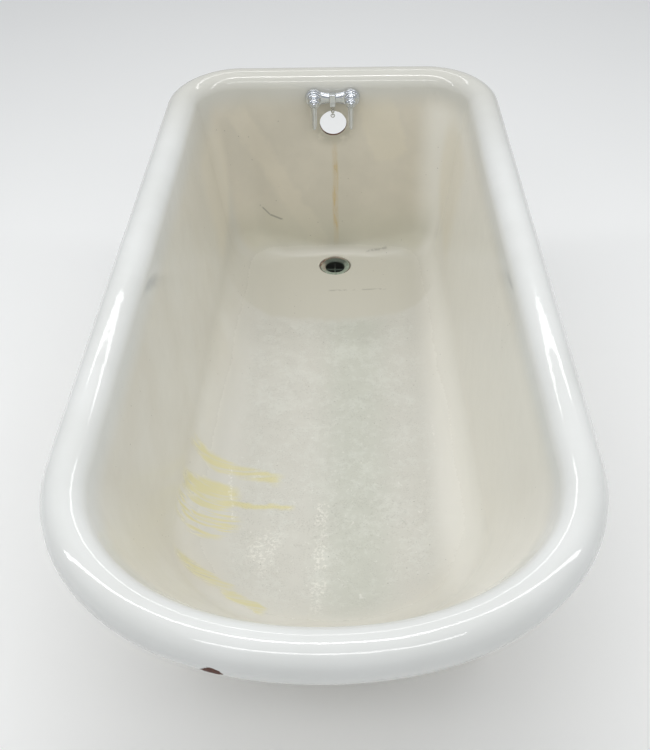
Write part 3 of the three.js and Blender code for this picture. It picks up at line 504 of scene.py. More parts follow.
def enamel_material():
    """Old white enamel: glossy on the roll, yellowed and dulled in the basin, etched on the floor."""
    s = Shader("enamel", IOR=1.52)
    cloud = s.noise(5.0, 4.0)
    ragged = s.noise(38.0, 5.0, 0.65)
    fine = s.noise(220.0, 4.0, 0.6)
    rise = floor_rise(s)
    in_basin = s.below(s.z, RIM_CENTRE_Z - 28 * MM, 60 * MM)
    on_floor = s.below(s.add(rise, s.times(cloud, 20 * MM)), 34 * MM, 50 * MM)
    on_end = s.times(s.above(s.y, 0.655, 0.03), s.above(rise, 20 * MM, 30 * MM), in_basin)
    on_sides = s.above(s.math("ABSOLUTE", s.x), 0.20, 0.06)

    # how far the standing water has etched the floor, and where it lay smooth over the waste
    boundary = s.add(s.y, s.times(cloud, 0.10), s.times(s.times(s.x, s.x), -1.5))
    pool = s.times(s.above(boundary, 0.475, 0.02), on_floor)
    worn = s.times(
        on_floor,
        s.below(boundary, 0.472, 0.04),
        s.between(s.add(s.x, s.times(ragged, 0.05)), -0.15, 0.21, 0.06),
    )
    speckle = s.noise(75.0, 6.0, 0.72)
    mottle = s.above(s.add(s.times(speckle, 0.6), s.times(s.noise(14.0, 4.0), 0.4)), 0.53, 0.14)
    etched = s.times(worn, mottle)
    pits = s.times(worn, s.above(s.noise(420.0, 2.0, 0.7), 0.60, 0.06), s.above(ragged, 0.46, 0.1))
    specks = s.times(in_basin, s.below(s.cells(55.0), 0.055, 0.02), s.above(cloud, 0.52, 0.06))
    band_edge = s.add(s.math("ABSOLUTE", s.minus(s.x, 0.045)), s.times(ragged, 0.06))
    green_band = s.times(worn, s.below(band_edge, 0.085, 0.09))
    glints = s.times(worn, s.above(s.noise(90.0, 4.0, 0.7, 0.6), 0.66, 0.05), s.below(s.y, 0.1, 0.3))
    # bright strokes on the floor: partly white flaked marks, partly painted highlights that stand for glints
    # and a highlight line
    flake_and_glint_path = s.add(s.x, s.times(ragged, 0.02))
    flecks = s.times(s.above(s.noise(170.0, 4.0, 0.7), 0.53, 0.08), s.above(s.noise(26.0, 3.0), 0.46, 0.16))
    flakes_and_painted_glints = s.times(flecks, on_floor, s.both(
        s.stroke(flake_and_glint_path, s.y, (-0.006, -0.12), (-0.012, -0.40), 11 * MM, 9 * MM),
        s.stroke(flake_and_glint_path, s.y, (-0.095, -0.19), (-0.120, -0.28), 22 * MM, 22 * MM),
        s.stroke(flake_and_glint_path, s.y, (-0.182, -0.03), (-0.166, -0.16), 3 * MM, 3 * MM),
        s.stroke(flake_and_glint_path, s.y, (0.205, 0.106), (0.208, 0.009), 2 * MM, 2 * MM),
    ))

    # rust run below the overflow, and the grime round it
    run_x = s.add(s.x, s.times(s.noise(7.0, 2.0), 0.012), -0.0085)
    run_width = s.add(4.2 * MM, s.times(ragged, 3 * MM))
    run = s.times(
        s.above(s.minus(run_width, s.math("ABSOLUTE", run_x)), 0.0, 6 * MM),
        s.between(s.z, 0.20, 0.42, 0.09),
        s.add(0.35, s.above(s.noise(30.0, 4.0, 0.7, 0.0, s.stretched(3.0, 1.0, 0.6)), 0.5, 0.25)),
        on_end,
    )
    overflow_z = RIM_HEIGHT - OVERFLOW_DROP
    grime = s.times(s.blob(s.x, s.z, (0, overflow_z - 8 * MM), (42 * MM, 42 * MM), 0.7), on_end)

    # where the end wall was wiped clean: a ragged patch right of the tap and a slanted band left of it
    wipe_u = s.add(s.x, s.times(s.minus(ragged, 0.5), 0.03))
    wipe_v = s.add(s.z, s.times(s.minus(s.noise(24.0, 4.0), 0.5), 0.06))
    clean = s.times(
        s.stroke(wipe_u, wipe_v, (0.078, 0.575), (0.130, 0.400), 40 * MM, 14 * MM),
        on_end,
    )
    slanted = s.times(s.stroke(wipe_u, wipe_v, (-0.21, 0.52), (-0.03, 0.17), 22 * MM, 16 * MM), on_end)
    corners = s.times(
        s.blob(s.math("ABSOLUTE", s.x), s.z, (0.262, 0.36), (26 * MM, 0.15), 0.5),
        s.above(s.y, 0.50, 0.10),
    )
    low_end = s.times(on_end, s.below(s.add(s.z, s.times(cloud, 0.08)), 0.30, 0.12))
    scuffs = s.times(on_end, s.above(ragged, 0.44, 0.08), s.both(
        s.stroke(s.x, s.z, (-0.172, 0.285), (-0.150, 0.258), 1.6 * MM, 2 * MM),
        s.stroke(s.x, s.z, (-0.150, 0.258), (-0.121, 0.244), 2.2 * MM, 2.5 * MM),
    ))
    lines = s.times(s.above(s.noise(60.0, 3.0), 0.48, 0.1), s.both(
        s.stroke(s.x, s.y, (0.070, 0.681), (0.122, 0.683), 1.4 * MM, 3 * MM),
        s.stroke(s.x, s.y, (-0.012, 0.537), (0.116, 0.542), 2.0 * MM, 5 * MM),
    ), s.below(rise, 40 * MM, 10 * MM))

    # yellow streaks that ran down the left side and were brushed about
    brush = s.noise(1.0, 3.0, 0.6, 0.3, s.stretched(7.0, 120.0, 20.0, math.radians(10)))
    smear_u = s.add(s.x, s.times(s.minus(ragged, 0.5), 0.03))
    smear_v = s.add(s.y, s.times(s.minus(s.noise(20.0, 4.0), 0.5), 0.03))
    brushed_patch = s.blob(smear_u, smear_v, (-0.222, -0.170), (52 * MM, 40 * MM), 0.6)
    streaks = s.times(s.below(rise, 70 * MM, 40 * MM), s.add(0.35, s.above(brush, 0.47, 0.20)), s.both(
        s.stroke(smear_u, smear_v, (-0.255, -0.015), (-0.100, -0.060), 15 * MM, 14 * MM),
        s.blob(smear_u, smear_v, (-0.218, -0.108), (48 * MM, 34 * MM), 0.5),
        s.stroke(smear_u, smear_v, (-0.200, -0.120), (-0.070, -0.130), 6 * MM, 8 * MM),
        s.times(s.above(brush, 0.50, 0.12), brushed_patch),
        s.stroke(smear_u, smear_v, (-0.260, -0.290), (-0.165, -0.340), 13 * MM, 12 * MM),
        s.stroke(smear_u, smear_v, (-0.170, -0.345), (-0.105, -0.392), 13 * MM, 10 * MM),
    ))

    # a chip and a nick on the roll, down to rusty iron
    chip_edge = s.times(s.noise(160.0, 3.0, 0.7), 1.1)
    chip_distance = s.math("SQRT", s.add(
        s.math("POWER", s.math("DIVIDE", s.minus(s.x, CHIP[0]), 15 * MM), 2),
        s.math("POWER", s.math("DIVIDE", s.minus(s.z, CHIP[2]), 10.5 * MM), 2),
    ))
    chip = s.below(s.add(chip_distance, chip_edge), 1.35, 0.04)
    chip = s.times(chip, s.below(s.y, CHIP[1] + 40 * MM, 2 * MM))
    nick = s.blob(s.y, s.z, NICK, (5 * MM, 3.5 * MM), 0.3)
    nick = s.times(nick, s.below(s.x, -0.34, 2 * MM))
    bare = s.both(chip, nick)

    yellowing = s.add(0.55, s.times(cloud, 0.55))
    white = s.blend(s.above(cloud, 0.5, 0.5), "E4E5E3", "DCDDDA")
    basin = s.blend(s.above(cloud, 0.5, 0.5), "E1DED3", "DAD6CA")
    far_end = s.above(s.y, 0.55, 0.45)
    colour = s.painted(
        s.blend(s.times(in_basin, yellowing), white, basin),
        (s.times(far_end, 0.85), "CBC9BF"),
        (s.times(on_end, 0.85), s.blend(s.above(cloud, 0.5, 0.35), "DDD6C6", "CFC9BA")),
        (s.times(on_floor, 0.8), "D3D1C9"),
        # painted light: the right-hand side wall of the basin is coloured lighter, as where more light falls
        # on it
        (s.times(on_sides, in_basin, s.above(s.x, 0.0, 0.1), 0.8), "EFEDE5"),
        (s.times(pool, 0.6), "CBC8BA"),
        (s.times(green_band, 0.65), "C4C7BB"),
        (s.times(etched, 0.36), "DFE1DA"),
        (s.times(s.minus(worn, etched), 0.15), "C6C7BF"),
        (s.times(clean, 0.30), "E9E1CB"),
        (s.times(slanted, 0.30), "E4DCCA"),
        (s.times(low_end, 0.45), "C3C3B2"),
        (s.times(corners, 0.55), "E6DFCD"),
        (s.times(grime, s.above(ragged, 0.42, 0.2), 0.55), "AAA695"),
        (s.times(run, 0.55), "CBB27A"),
        (s.times(streaks, 0.55), "DDD59C"),
        (s.times(glints, 0.5), "EFEEE8"),
        (s.times(flakes_and_painted_glints, 0.55), "F4F2EA"),
        (s.times(pits, 0.30), "9A9B92"),
        (s.times(specks, 0.6), "6A665C"),
        (s.times(scuffs, 0.55), "7C7D75"),
        (s.times(lines, 0.4), "7E7C72"),
        (bare, s.blend(fine, "32130A", "6B3518")),
    )
    roughness = s.add(
        0.045,
        s.times(in_basin, 0.16),
        s.times(on_floor, 0.10),
        s.times(worn, 0.22),
        s.times(etched, 0.12),
        s.times(streaks, 0.1),
        s.times(bare, 0.6),
        s.times(fine, 0.03),
    )
    ripple = s.times(s.noise(28.0, 2.0, 0.4), 0.35)
    height = s.add(
        ripple,
        s.times(s.noise(90.0, 2.0, 0.5), 0.05),
        s.times(etched, -0.10),
        s.times(worn, fine, 0.16),
        s.times(pits, -0.25),
        s.times(bare, -0.9),
    )
    return s.finish(colour, roughness, height, 1 * MM)


def outside_paint_material():
    """Brushed oil paint over the rough casting on the tub's outside."""
    s = Shader("outside_paint", IOR=1.48)
    cloud = s.noise(4.0, 4.0)
    casting = s.noise(130.0, 4.0, 0.65)
    brush = s.noise(1.0, 2.0, 0.5, 0.3, s.stretched(60.0, 60.0, 8.0))
    low = s.below(s.z, 0.24, 0.16)
    rust_spots = s.times(s.above(s.noise(24.0, 6.0, 0.7), 0.69, 0.05), s.add(0.35, s.times(low, 0.65)))
    dust = s.times(low, s.above(cloud, 0.45, 0.3), 0.4)
    colour = s.painted(
        s.blend(cloud, "DEDBD2", "D2CEC3"),
        (s.times(brush, 0.25), "E4E2DA"),
        (dust, "B9B2A2"),
        (rust_spots, "7C4A2A"),
    )
    roughness = s.add(0.38, s.times(cloud, 0.15), s.times(rust_spots, 0.3))
    height = s.add(s.times(casting, 0.30), s.times(brush, 0.22), s.times(rust_spots, 0.2))
    return s.finish(colour, roughness, height, 0.8 * MM)


def rusty_iron_material():
    """Bare cast iron where the casting is drilled or ground."""
    s = Shader("rusty_iron")
    scale = s.noise(60.0, 6.0, 0.7)
    grains = s.noise(400.0, 4.0, 0.7)
    colour = s.painted(
        s.blend(s.above(scale, 0.5, 0.3), "3A2015", "6E3F22"),
        (s.times(s.above(grains, 0.58, 0.1), 0.6), "94592E"),
    )
    return s.finish(colour, s.add(0.65, s.times(grains, 0.2)), s.add(scale, s.times(grains, 0.4)), 0.5 * MM)


def feet_paint_material():
    """Cream paint on the cast feet, worn through to rust on the toes and the sole."""
    s = Shader("feet_paint", IOR=1.48)
    cloud = s.noise(14.0, 5.0, 0.6)
    casting = s.noise(240.0, 4.0, 0.65)
    sole = s.below(s.add(s.z, s.times(cloud, 0.02)), 16 * MM, 10 * MM)
    worn = s.both(sole, s.times(s.above(s.noise(46.0, 5.0, 0.75), 0.66, 0.04), s.below(s.z, 0.11, 0.08)))
    edge = s.both(s.below(s.add(s.z, s.times(cloud, 0.02)), 22 * MM, 10 * MM), worn)
    colour = s.painted(
        s.blend(cloud, "DDD8CC", "CDC6B6"),
        (s.times(edge, 0.5), "A58A66"),
        (worn, s.blend(casting, "3D241A", "77482B")),
    )
    roughness = s.add(0.42, s.times(worn, 0.35), s.times(cloud, 0.1))
    return s.finish(colour, roughness, s.add(s.times(casting, 0.35), s.times(worn, -0.5)), 0.7 * MM)


def chrome_material():
    """Old chrome plate: bright, with faint water marks and small pits."""
    s = Shader("chrome", Metallic=1.0)
    cloud = s.noise(60.0, 4.0, 0.6)
    pits = s.times(s.below(s.cells(900.0), 0.10, 0.05), s.above(cloud, 0.52, 0.08))
    marks = s.above(s.noise(140.0, 4.0, 0.7), 0.58, 0.12)
    colour = s.painted(
        s.blend(cloud, "E3E6EA", "CFD3D8"),
        (s.times(marks, 0.35), "B9BCBE"),
        (s.times(pits, 0.8), "5D5A55"),
    )
    roughness = s.add(0.07, s.times(cloud, 0.05), s.times(marks, 0.12), s.times(pits, 0.4))
    return s.finish(colour, roughness, s.add(s.times(cloud, 0.2), s.times(pits, -0.3)), 0.15 * MM)


def nickel_material():
    """Dull nickel plate on the chain, going brown in the recesses."""
    s = Shader("nickel", Metallic=1.0)
    cloud = s.noise(260.0, 4.0, 0.65)
    tarnish = s.above(cloud, 0.55, 0.2)
    colour = s.blend(s.times(tarnish, 0.5), "C9C8C2", "8C8676")
    return s.finish(colour, s.add(0.2, s.times(tarnish, 0.3)), cloud, 0.12 * MM)


def brass_material():
    """Unpolished brass nuts and pipes."""
    s = Shader("brass", Metallic=1.0)
    cloud = s.noise(90.0, 5.0, 0.65)
    tarnish = s.above(s.noise(30.0, 4.0), 0.5, 0.3)
    colour = s.painted(
        s.blend(cloud, "A98A55", "8A6E42"),
        (s.times(tarnish, 0.6), "6B5433"),
        (s.times(s.above(s.noise(200.0, 4.0, 0.7), 0.66, 0.05), 0.7), "7E9A86"),
    )
    return s.finish(colour, s.add(0.3, s.times(tarnish, 0.25)), cloud, 0.2 * MM)


def corroded_brass_material():
    """The waste: copper-brown rim on one side with pale painted highlights on it, green and chalky crust on
    the other, and painted shade on the far inner side and down the bore, darkest at its far side.
    """
    s = Shader("corroded_brass", Metallic=0.25)
    ragged = s.noise(120.0, 6.0, 0.7)
    grains = s.noise(500.0, 4.0, 0.7)
    cloud = s.noise(45.0, 4.0)
    across = s.minus(s.y, WASTE_Y)
    distance = s.math("SQRT", s.add(s.times(s.x, s.x), s.times(across, across)))
    lean = s.add(across, s.times(s.x, -0.5), s.times(s.minus(cloud, 0.5), 0.02))
    outer = s.above(s.add(distance, s.times(s.minus(ragged, 0.5), 6 * MM)), 31.5 * MM, 3 * MM)
    copper = s.times(outer, s.above(lean, 14 * MM, 14 * MM))
    pinkish = s.times(s.minus(1.0, outer), s.above(s.times(s.x, -1.0), 21 * MM, 8 * MM))
    # painted shade: the far inner side of the lip is darkened, as where the light does not reach
    shaded = s.times(s.minus(1.0, outer), s.above(across, 10 * MM, 18 * MM))
    sides = s.above(s.math("ABSOLUTE", s.x), 22 * MM, 8 * MM)
    brown_edge = s.times(s.above(distance, 34 * MM, 1.5 * MM), sides)
    chalk = s.above(ragged, 0.50, 0.16)
    # painted shade: the bore is darkened below the floor and nearly black on its far side, where there is
    # only shadow
    bore_depth_shade = s.below(s.z, FLOOR_Z - 5 * MM, 5 * MM)
    far_bore_shadow = s.times(bore_depth_shade, s.above(across, 2 * MM, 12 * MM))
    colour = s.painted(
        s.blend(cloud, "97A596", "7E8C7E"),
        (s.times(chalk, 0.7), "B4BEAE"),
        (s.times(pinkish, 0.6), "BBAA9C"),
        (s.times(shaded, 0.75), "353A33"),
        # the copper rim's pale patches are painted highlights over the copper-brown
        (s.times(copper, 0.9), s.blend(s.above(ragged, 0.5, 0.15), "BFA28C", "6E4433")),
        (s.times(brown_edge, 0.7), "6B4A3C"),
        (s.times(s.above(grains, 0.62, 0.08), 0.4), "4A463A"),
        (s.times(bore_depth_shade, 0.9), s.blend(cloud, "2A332D", "55655A")),
        (s.times(far_bore_shadow, 0.85), "14130F"),
    )
    roughness = s.add(0.5, s.times(ragged, 0.3))
    return s.finish(colour, roughness, s.add(s.times(ragged, 0.8), s.times(grains, 0.4)), 0.7 * MM)


def rusty_steel_material():
    """Studs, nuts and washers under the tub."""
    s = Shader("rusty_steel")
    cloud = s.noise(120.0, 5.0, 0.7)
    rust = s.above(cloud, 0.48, 0.15)
    colour = s.painted(
        s.blend(cloud, "6A6660", "4A4642"),
        (s.times(rust, 0.85), "6E4025"),
    )
    return s.finish(
        colour, s.add(0.42, s.times(rust, 0.4)), cloud, 0.3 * MM, metallic=s.times(s.minus(1.0, rust), 0.8),
    )


def rubber_material():
    """Old black rubber, chalky where it has dried."""
    s = Shader("rubber")
    cloud = s.noise(90.0, 4.0, 0.6)
    colour = s.blend(s.above(cloud, 0.5, 0.3), "22211F", "45423D")
    return s.finish(colour, s.add(0.7, s.times(cloud, 0.2)), cloud, 0.2 * MM)


CHIP = (-0.124, HEAD_FACE_Y + 26 * MM, RIM_CENTRE_Z - 8 * MM)  # on the outer side of the roll at the head
NICK = (-0.36, RIM_CENTRE_Z)  # y and z, on the outer side of the left roll

enamel = enamel_material()
outside_paint = outside_paint_material()
rusty_iron = rusty_iron_material()
feet_paint = feet_paint_material()
chrome = chrome_material()
nickel = nickel_material()
brass = brass_material()
corroded_brass = corroded_brass_material()
rusty_steel = rusty_steel_material()
rubber = rubber_material()


# ---------------------------------------------------------------- tub

TAP_STEPS, CORNER_STEPS, SIDE_STEPS, HEAD_STEPS = 24, 30, 60, 100


def plan_outline(half_width, tap_y, head_y, head_reach, corner):
    """Straight tap end, round corner, tapered side and rounded head, then the mirror image."""
    tap_half_width = half_width - TAPER_PER_SIDE
    head_start = head_y + head_reach
    power = 2 / HEAD_SQUARENESS
    half = [((tap_half_width - corner) * i / TAP_STEPS, tap_y) for i in range(TAP_STEPS)]
    for i in range(CORNER_STEPS):
        angle = math.pi / 2 * (1 - i / CORNER_STEPS)
        half.append((
            tap_half_width + corner * (math.cos(angle) - 1),
            tap_y + corner * (math.sin(angle) - 1),
        ))
    for i in range(SIDE_STEPS):
        share = i / SIDE_STEPS
        half.append((
            tap_half_width + (half_width - tap_half_width) * share,
            tap_y - corner + (head_start - tap_y + corner) * share,
        ))
    for i in range(HEAD_STEPS + 1):
        angle = math.pi / 2 * i / HEAD_STEPS
        half.append((
            half_width * max(math.cos(angle), 0) ** power,
            head_start - head_reach * math.sin(angle) ** power,
        ))
    return np.array(half + [(-x, y) for x, y in reversed(half[1:-1])])


def outward_normals(outline):
    run = np.roll(outline, -1, axis=0) - np.roll(outline, 1, axis=0)
    normals = np.stack([-run[:, 1], run[:, 0]], axis=1)
    return normals / np.linalg.norm(normals, axis=1)[:, None]


WALL_FOOT = {
    "half_width": RIM_WIDTH / 2 - 2 * RIM_TUBE_RADIUS - SIDE_INSET,
    "tap_y": TAP_FACE_Y - 2 * RIM_TUBE_RADIUS - TAP_END_INSET,
    "head_y": HEAD_FACE_Y + 2 * RIM_TUBE_RADIUS + HEAD_INSET,
    "head_reach": HEAD_REACH - SIDE_INSET,
    "corner": FOOT_CORNER_RADIUS,
}
RIM_LINE = plan_outline(
    RIM_WIDTH / 2 - RIM_TUBE_RADIUS, TAP_FACE_Y - RIM_TUBE_RADIUS,
    HEAD_FACE_Y + RIM_TUBE_RADIUS, HEAD_REACH, CORNER_RADIUS,
)
FOOT_LINE = plan_outline(**WALL_FOOT)
FLOOR_LINE = plan_outline(
    WALL_FOOT["half_width"] - SIDE_FILLET, WALL_FOOT["tap_y"] - TAP_END_FILLET,
    WALL_FOOT["head_y"] + HEAD_FILLET, WALL_FOOT["head_reach"] - SIDE_FILLET, FLOOR_CORNER_RADIUS,
)
RIM_NORMALS = outward_normals(RIM_LINE)
FOOT_NORMALS = outward_normals(FOOT_LINE)


def floor_height(y):
    return FLOOR_Z + FLOOR_SLOPE * (WASTE_Y - y)


def wall_lean(tube_radius, foot, foot_z):
    across = ((RIM_LINE - foot) * RIM_NORMALS).sum(1)
    rise = RIM_CENTRE_Z - foot_z
    return np.arctan2(across, rise) - np.arcsin(tube_radius / np.hypot(across, rise))


def rim_ring(radius, angle):
    angle = np.broadcast_to(angle, len(RIM_LINE))
    plan = RIM_LINE + RIM_NORMALS * (radius * np.cos(angle))[:, None]
    return np.column_stack([plan, RIM_CENTRE_Z + radius * np.sin(angle)])


def basin_rings(outside, fillet_steps, wall_steps):
    """Rings from the floor's edge up to the rim tube, on a surface outside the enamel."""
    floor_z = floor_height(FOOT_LINE[:, 1])
    lean = wall_lean(RIM_TUBE_RADIUS, FOOT_LINE, floor_z)
    shift = outside * (1 - np.sin(lean)) / np.cos(lean)
    foot_plan = FOOT_LINE + FOOT_NORMALS * shift[:, None]
    foot = np.column_stack([foot_plan, floor_z - outside])
    tube_radius = RIM_TUBE_RADIUS - outside
    top = rim_ring(tube_radius, math.pi - wall_lean(tube_radius, foot_plan, foot[:, 2]))
    floor = np.column_stack([FLOOR_LINE, floor_height(FLOOR_LINE[:, 1]) - outside])
    reach = np.linalg.norm(floor - foot, axis=1) / np.linalg.norm(top - foot, axis=1)
    fillet_top = foot + (top - foot) * reach[:, None]
    rings = []
    for step in range(fillet_steps):
        share = step / fillet_steps
        weights = ((1 - share) ** 2, 2 * share * (1 - share) * FILLET_WEIGHT, share ** 2)
        rings.append((floor * weights[0] + foot * weights[1] + fillet_top * weights[2]) / sum(weights))
    for step in range(wall_steps + 1):
        rings.append(fillet_top + (top - fillet_top) * step / wall_steps)
    return rings


def floor_rings(outside, steps):
    """Rings that fill the flat floor, from near its middle line out to its edge."""
    edge = np.column_stack([FLOOR_LINE, floor_height(FLOOR_LINE[:, 1]) - outside])
    middle_y = np.clip(FLOOR_LINE[:, 1] * 0.5 + 0.07, -0.10, 0.40)
    spine = np.column_stack([0 * middle_y, middle_y, floor_height(middle_y) - outside])
    return [spine + (edge - spine) * (0.02 + 0.98 * step / steps) for step in range(steps)]


def rim_rings(outside, to_top, to_side, to_lip):
    """Rings round the rim tube, from the wall's tangent line over the top to the lip."""
    radius = RIM_TUBE_RADIUS - outside
    start = math.pi - np.arcsin((basin_rings(outside, 2, 2)[-1][:, 2] - RIM_CENTRE_Z) / radius)
    stretches = (
        (start, math.pi / 2, to_top),
        (math.pi / 2, 0.0, to_side),
        (0.0, -RIM_CURL_BELOW, to_lip),
    )
    return [
        rim_ring(radius, begin + (end - begin) * (step + 1) / steps)
        for begin, end, steps in stretches
        for step in range(steps)
    ]


def lip_rings(steps):
    """The rounded edge between the outer and inner faces of the rolled lip."""
    middle = RIM_TUBE_RADIUS - WALL / 2
    rings = []
    for step in range(1, steps):
        turn = math.pi * step / steps
        angle = -RIM_CURL_BELOW - WALL / 2 * math.sin(turn) / RIM_TUBE_RADIUS
        rings.append(rim_ring(middle + WALL / 2 * math.cos(turn), angle))
    return rings


def hand_finished(rings, amount, scale):
    """Gives the rings the slight waviness of a hand-enamelled casting."""
    waved = []
    for ring in rings:
        offsets = np.array([
            noise.noise_vector(Vector(point) * scale) for point in ring
        ])
        waved.append(ring + offsets * amount)
    return waved


tap_wall_lean = float(wall_lean(RIM_TUBE_RADIUS, FOOT_LINE, floor_height(FOOT_LINE[:, 1]))[0])
tap_wall_top = rim_ring(RIM_TUBE_RADIUS, math.pi - tap_wall_lean)[0]


def tap_wall_y(z):
    return tap_wall_top[1] - (tap_wall_top[2] - z) * math.tan(tap_wall_lean)


def on_tap_wall(x, z):
    """A frame on the end wall's inner face whose +Z points out of the tub."""
    turn = Matrix.Rotation(-math.pi / 2 - tap_wall_lean, 4, "X")
    return Matrix.Translation((x, tap_wall_y(z), z)) @ turn


FOOT_NAMES = ("drain_left", "drain_right", "head_left", "head_right")


def foot_place(name):
    """Where a foot stands: its ball's axis, turned so that local +X points away from the tub."""
    low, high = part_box("foot_stud_" + name)
    side = math.copysign(1, low.x)
    end = 1 if name.startswith("drain") else -1
    heading = math.atan2(end * math.sin(FOOT_TURN), side * math.cos(FOOT_TURN))
    stud = (low + high) / 2
    along = Vector((math.cos(heading), math.sin(heading), 0))
    ball_axis = Vector((stud.x, stud.y, 0)) + along * STUD_SETBACK
    return Matrix.Translation(ball_axis) @ Matrix.Rotation(heading, 4, "Z")


def tub_piece():
    """The shell: fine loft of the same outlines as the frame's, which build_tub then drills and bosses."""
    enamelled = [
        *floor_rings(0, 14), *basin_rings(0, 16, 30), *rim_rings(0, 14, 16, 9), *lip_rings(6)[:3],
    ]
    painted = [
        *lip_rings(6)[3:],
        *reversed(rim_rings(WALL, 6, 8, 5)), *reversed(basin_rings(WALL, 12, 18)),
        *reversed(floor_rings(WALL, 8)),
    ]
    rings = hand_finished(enamelled, 0.35 * MM, 11) + hand_finished(painted, 0.5 * MM, 16)
    shell = lofted("tub", rings, [enamel, outside_paint, rusty_iron], 40)
    sides = len(RIM_LINE)
    enamel_faces = (len(enamelled) - 1) * sides
    for index, polygon in enumerate(shell.data.polygons):
        is_cap = index >= (len(rings) - 1) * sides
        outer_cap = is_cap and len(polygon.vertices) == 3 and (index - (len(rings) - 1) * sides) % 2 == 1
        polygon.material_index = 1 if (outer_cap or (not is_cap and index >= enamel_faces)) else 0
    return shell


def basin_space():
    """The space inside the tub, with the outer half of the wall's thickness."""
    outside = WALL / 2
    return lofted("basin_space", [*floor_rings(outside, 3), *basin_rings(outside, 10, 4)])


def tub_bosses():
    """The waste boss and the four level foot pads, without what would stand inside the basin."""
    boss = rod("boss", WASTE_BOSS_RADIUS, -WALL - WASTE_BOSS_HEIGHT, TAP_END_FILLET / 2,
               Matrix.Translation((0, WASTE_Y, FLOOR_Z)), 96, [outside_paint])
    pads = [
        box_piece(
            "pad", (-STUD_SETBACK - PAD_LENGTH / 2, -PAD_WIDTH / 2, PAD_Z),
            (-STUD_SETBACK + PAD_LENGTH / 2, PAD_WIDTH / 2, PAD_Z + PAD_RISE), 2 * MM,
            foot_place(name), [outside_paint],
        )
        for name in FOOT_NAMES
    ]
    return [cut(part, basin_space()) for part in (boss, *pads)]


def ragged_hole(radius, place, roughness, chamfer, sides=120):
    """A cutter for a hole whose enamel has flaked back unevenly from the drilled edge."""
    rings = []
    for z, grow in ((-4 * WALL, 1.0 * chamfer), (-0.8 * MM, 1.0 * chamfer), (0.2 * MM, 0.35 * chamfer),
                    (1.6 * MM, 0.0), (4 * WALL, 0.0)):
        ring = []
        for i in range(sides):
            angle = 2 * math.pi * i / sides
            spot = Vector((math.cos(angle), math.sin(angle), z / MM * 0.02))
            bite = noise.noise(spot * 2.3) + 0.5 * noise.noise(spot * 7.1)
            flaked = 0.6 + 0.8 * noise.noise(spot * 4.0 + Vector((9, 0, 0)))
            reach = radius + roughness * bite * 0.5 + grow * flaked
            ring.append((reach * math.cos(angle), reach * math.sin(angle), z))
        rings.append(ring)
    cutter = lofted("hole", rings, [rusty_iron])
    cutter.data.transform(place)
    return cutter


def waste_recess():
    seat = -4.2 * MM
    return lathe("recess", [
        (0, -4 * WALL), (WASTE_TUBE_RADIUS + 0.6 * MM, -4 * WALL), (WASTE_TUBE_RADIUS + 0.6 * MM, seat),
        (WASTE_RADIUS + 0.6 * MM, seat), (WASTE_RADIUS + 1.2 * MM, 0),
        (WASTE_RADIUS + 2.4 * MM, TAP_END_FILLET), (0, TAP_END_FILLET),
    ], [enamel], 120, Matrix.Translation((0, WASTE_Y, FLOOR_Z)), 0.6 * MM)


def build_tub():
    shell = joined(tub_piece(), *tub_bosses())
    tap_z = RIM_HEIGHT - TAP_DROP
    overflow_z = RIM_HEIGHT - OVERFLOW_DROP
    cut(
        shell,
        waste_recess(),
        ragged_hole(OVERFLOW_RADIUS, on_tap_wall(0, overflow_z), 0.9 * MM, 1.1 * MM),
        *[
            rod("shank_hole", SHANK_HOLE_RADIUS, -4 * WALL, 4 * WALL,
                on_tap_wall(side * TAP_CENTRES / 2, tap_z), 48, [rusty_iron])
            for side in (-1, 1)
        ],
    )
    smooth(shell, 40)
    return finished(shell, "tub", "enamelled_iron", "tub_shell")


build_tub()


# ---------------------------------------------------------------- feet

def smooth_sections(sections, steps):
    """Rows of numbers between the given rows, on a smooth curve through them."""
    rows = [np.array(row, float) for row in sections]
    result = []
    for k in range(len(rows) - 1):
        before = rows[max(k - 1, 0)]
        after = rows[min(k + 2, len(rows) - 1)]
        for step in range(steps):
            t = step / steps
            result.append(0.5 * (
                2 * rows[k] + (rows[k + 1] - before) * t
                + (2 * before - 5 * rows[k] + 4 * rows[k + 1] - after) * t ** 2
                + (3 * rows[k] - before - 3 * rows[k + 1] + after) * t ** 3
            ))
    return result + [rows[-1]]


# centre height, setback, half depth and half width of the leg, from the ankle up to the knee
LEG_SECTIONS = [
    (0.022, 0.000, 0.016, 0.016), (0.058, -0.005, 0.018, 0.019), (0.082, -0.012, 0.023, 0.026),
    (0.106, -0.017, 0.033, 0.040), (0.132, -0.012, 0.040, 0.051), (0.162, 0.001, 0.033, 0.049),
    (0.184, 0.008, 0.022, 0.038), (0.195, 0.010, 0.013, 0.026),
]


def leg():
    """Cabriole leg whose knee carries raised acanthus ribs."""
    rings = []
    for z, x, depth, width in smooth_sections(LEG_SECTIONS, 6):
        ring = []
        for i in range(96):
            angle = 2 * math.pi * i / 96
            front = max(math.cos(angle), 0)
            knee = math.exp(-((z - 0.140) / 0.045) ** 2)
            rib = math.cos(7 * angle) * front * knee * 2.6 * MM
            ring.append((
                x + (depth + rib) * math.cos(angle),
                (width + rib) * math.sin(angle),
                z,
            ))
        rings.append(ring)
    return lofted("leg", rings)


def chain_of_balls(points):
    """Overlapping balls along (x, z, radius, half width) points: a knuckled toe."""
    parts = []
    rows = smooth_sections(points, 5)
    for x, z, radius, width in rows:
        parts.append(ball("knuckle", (radius, width, radius), (x, 0, z), sides=14))
    return parts


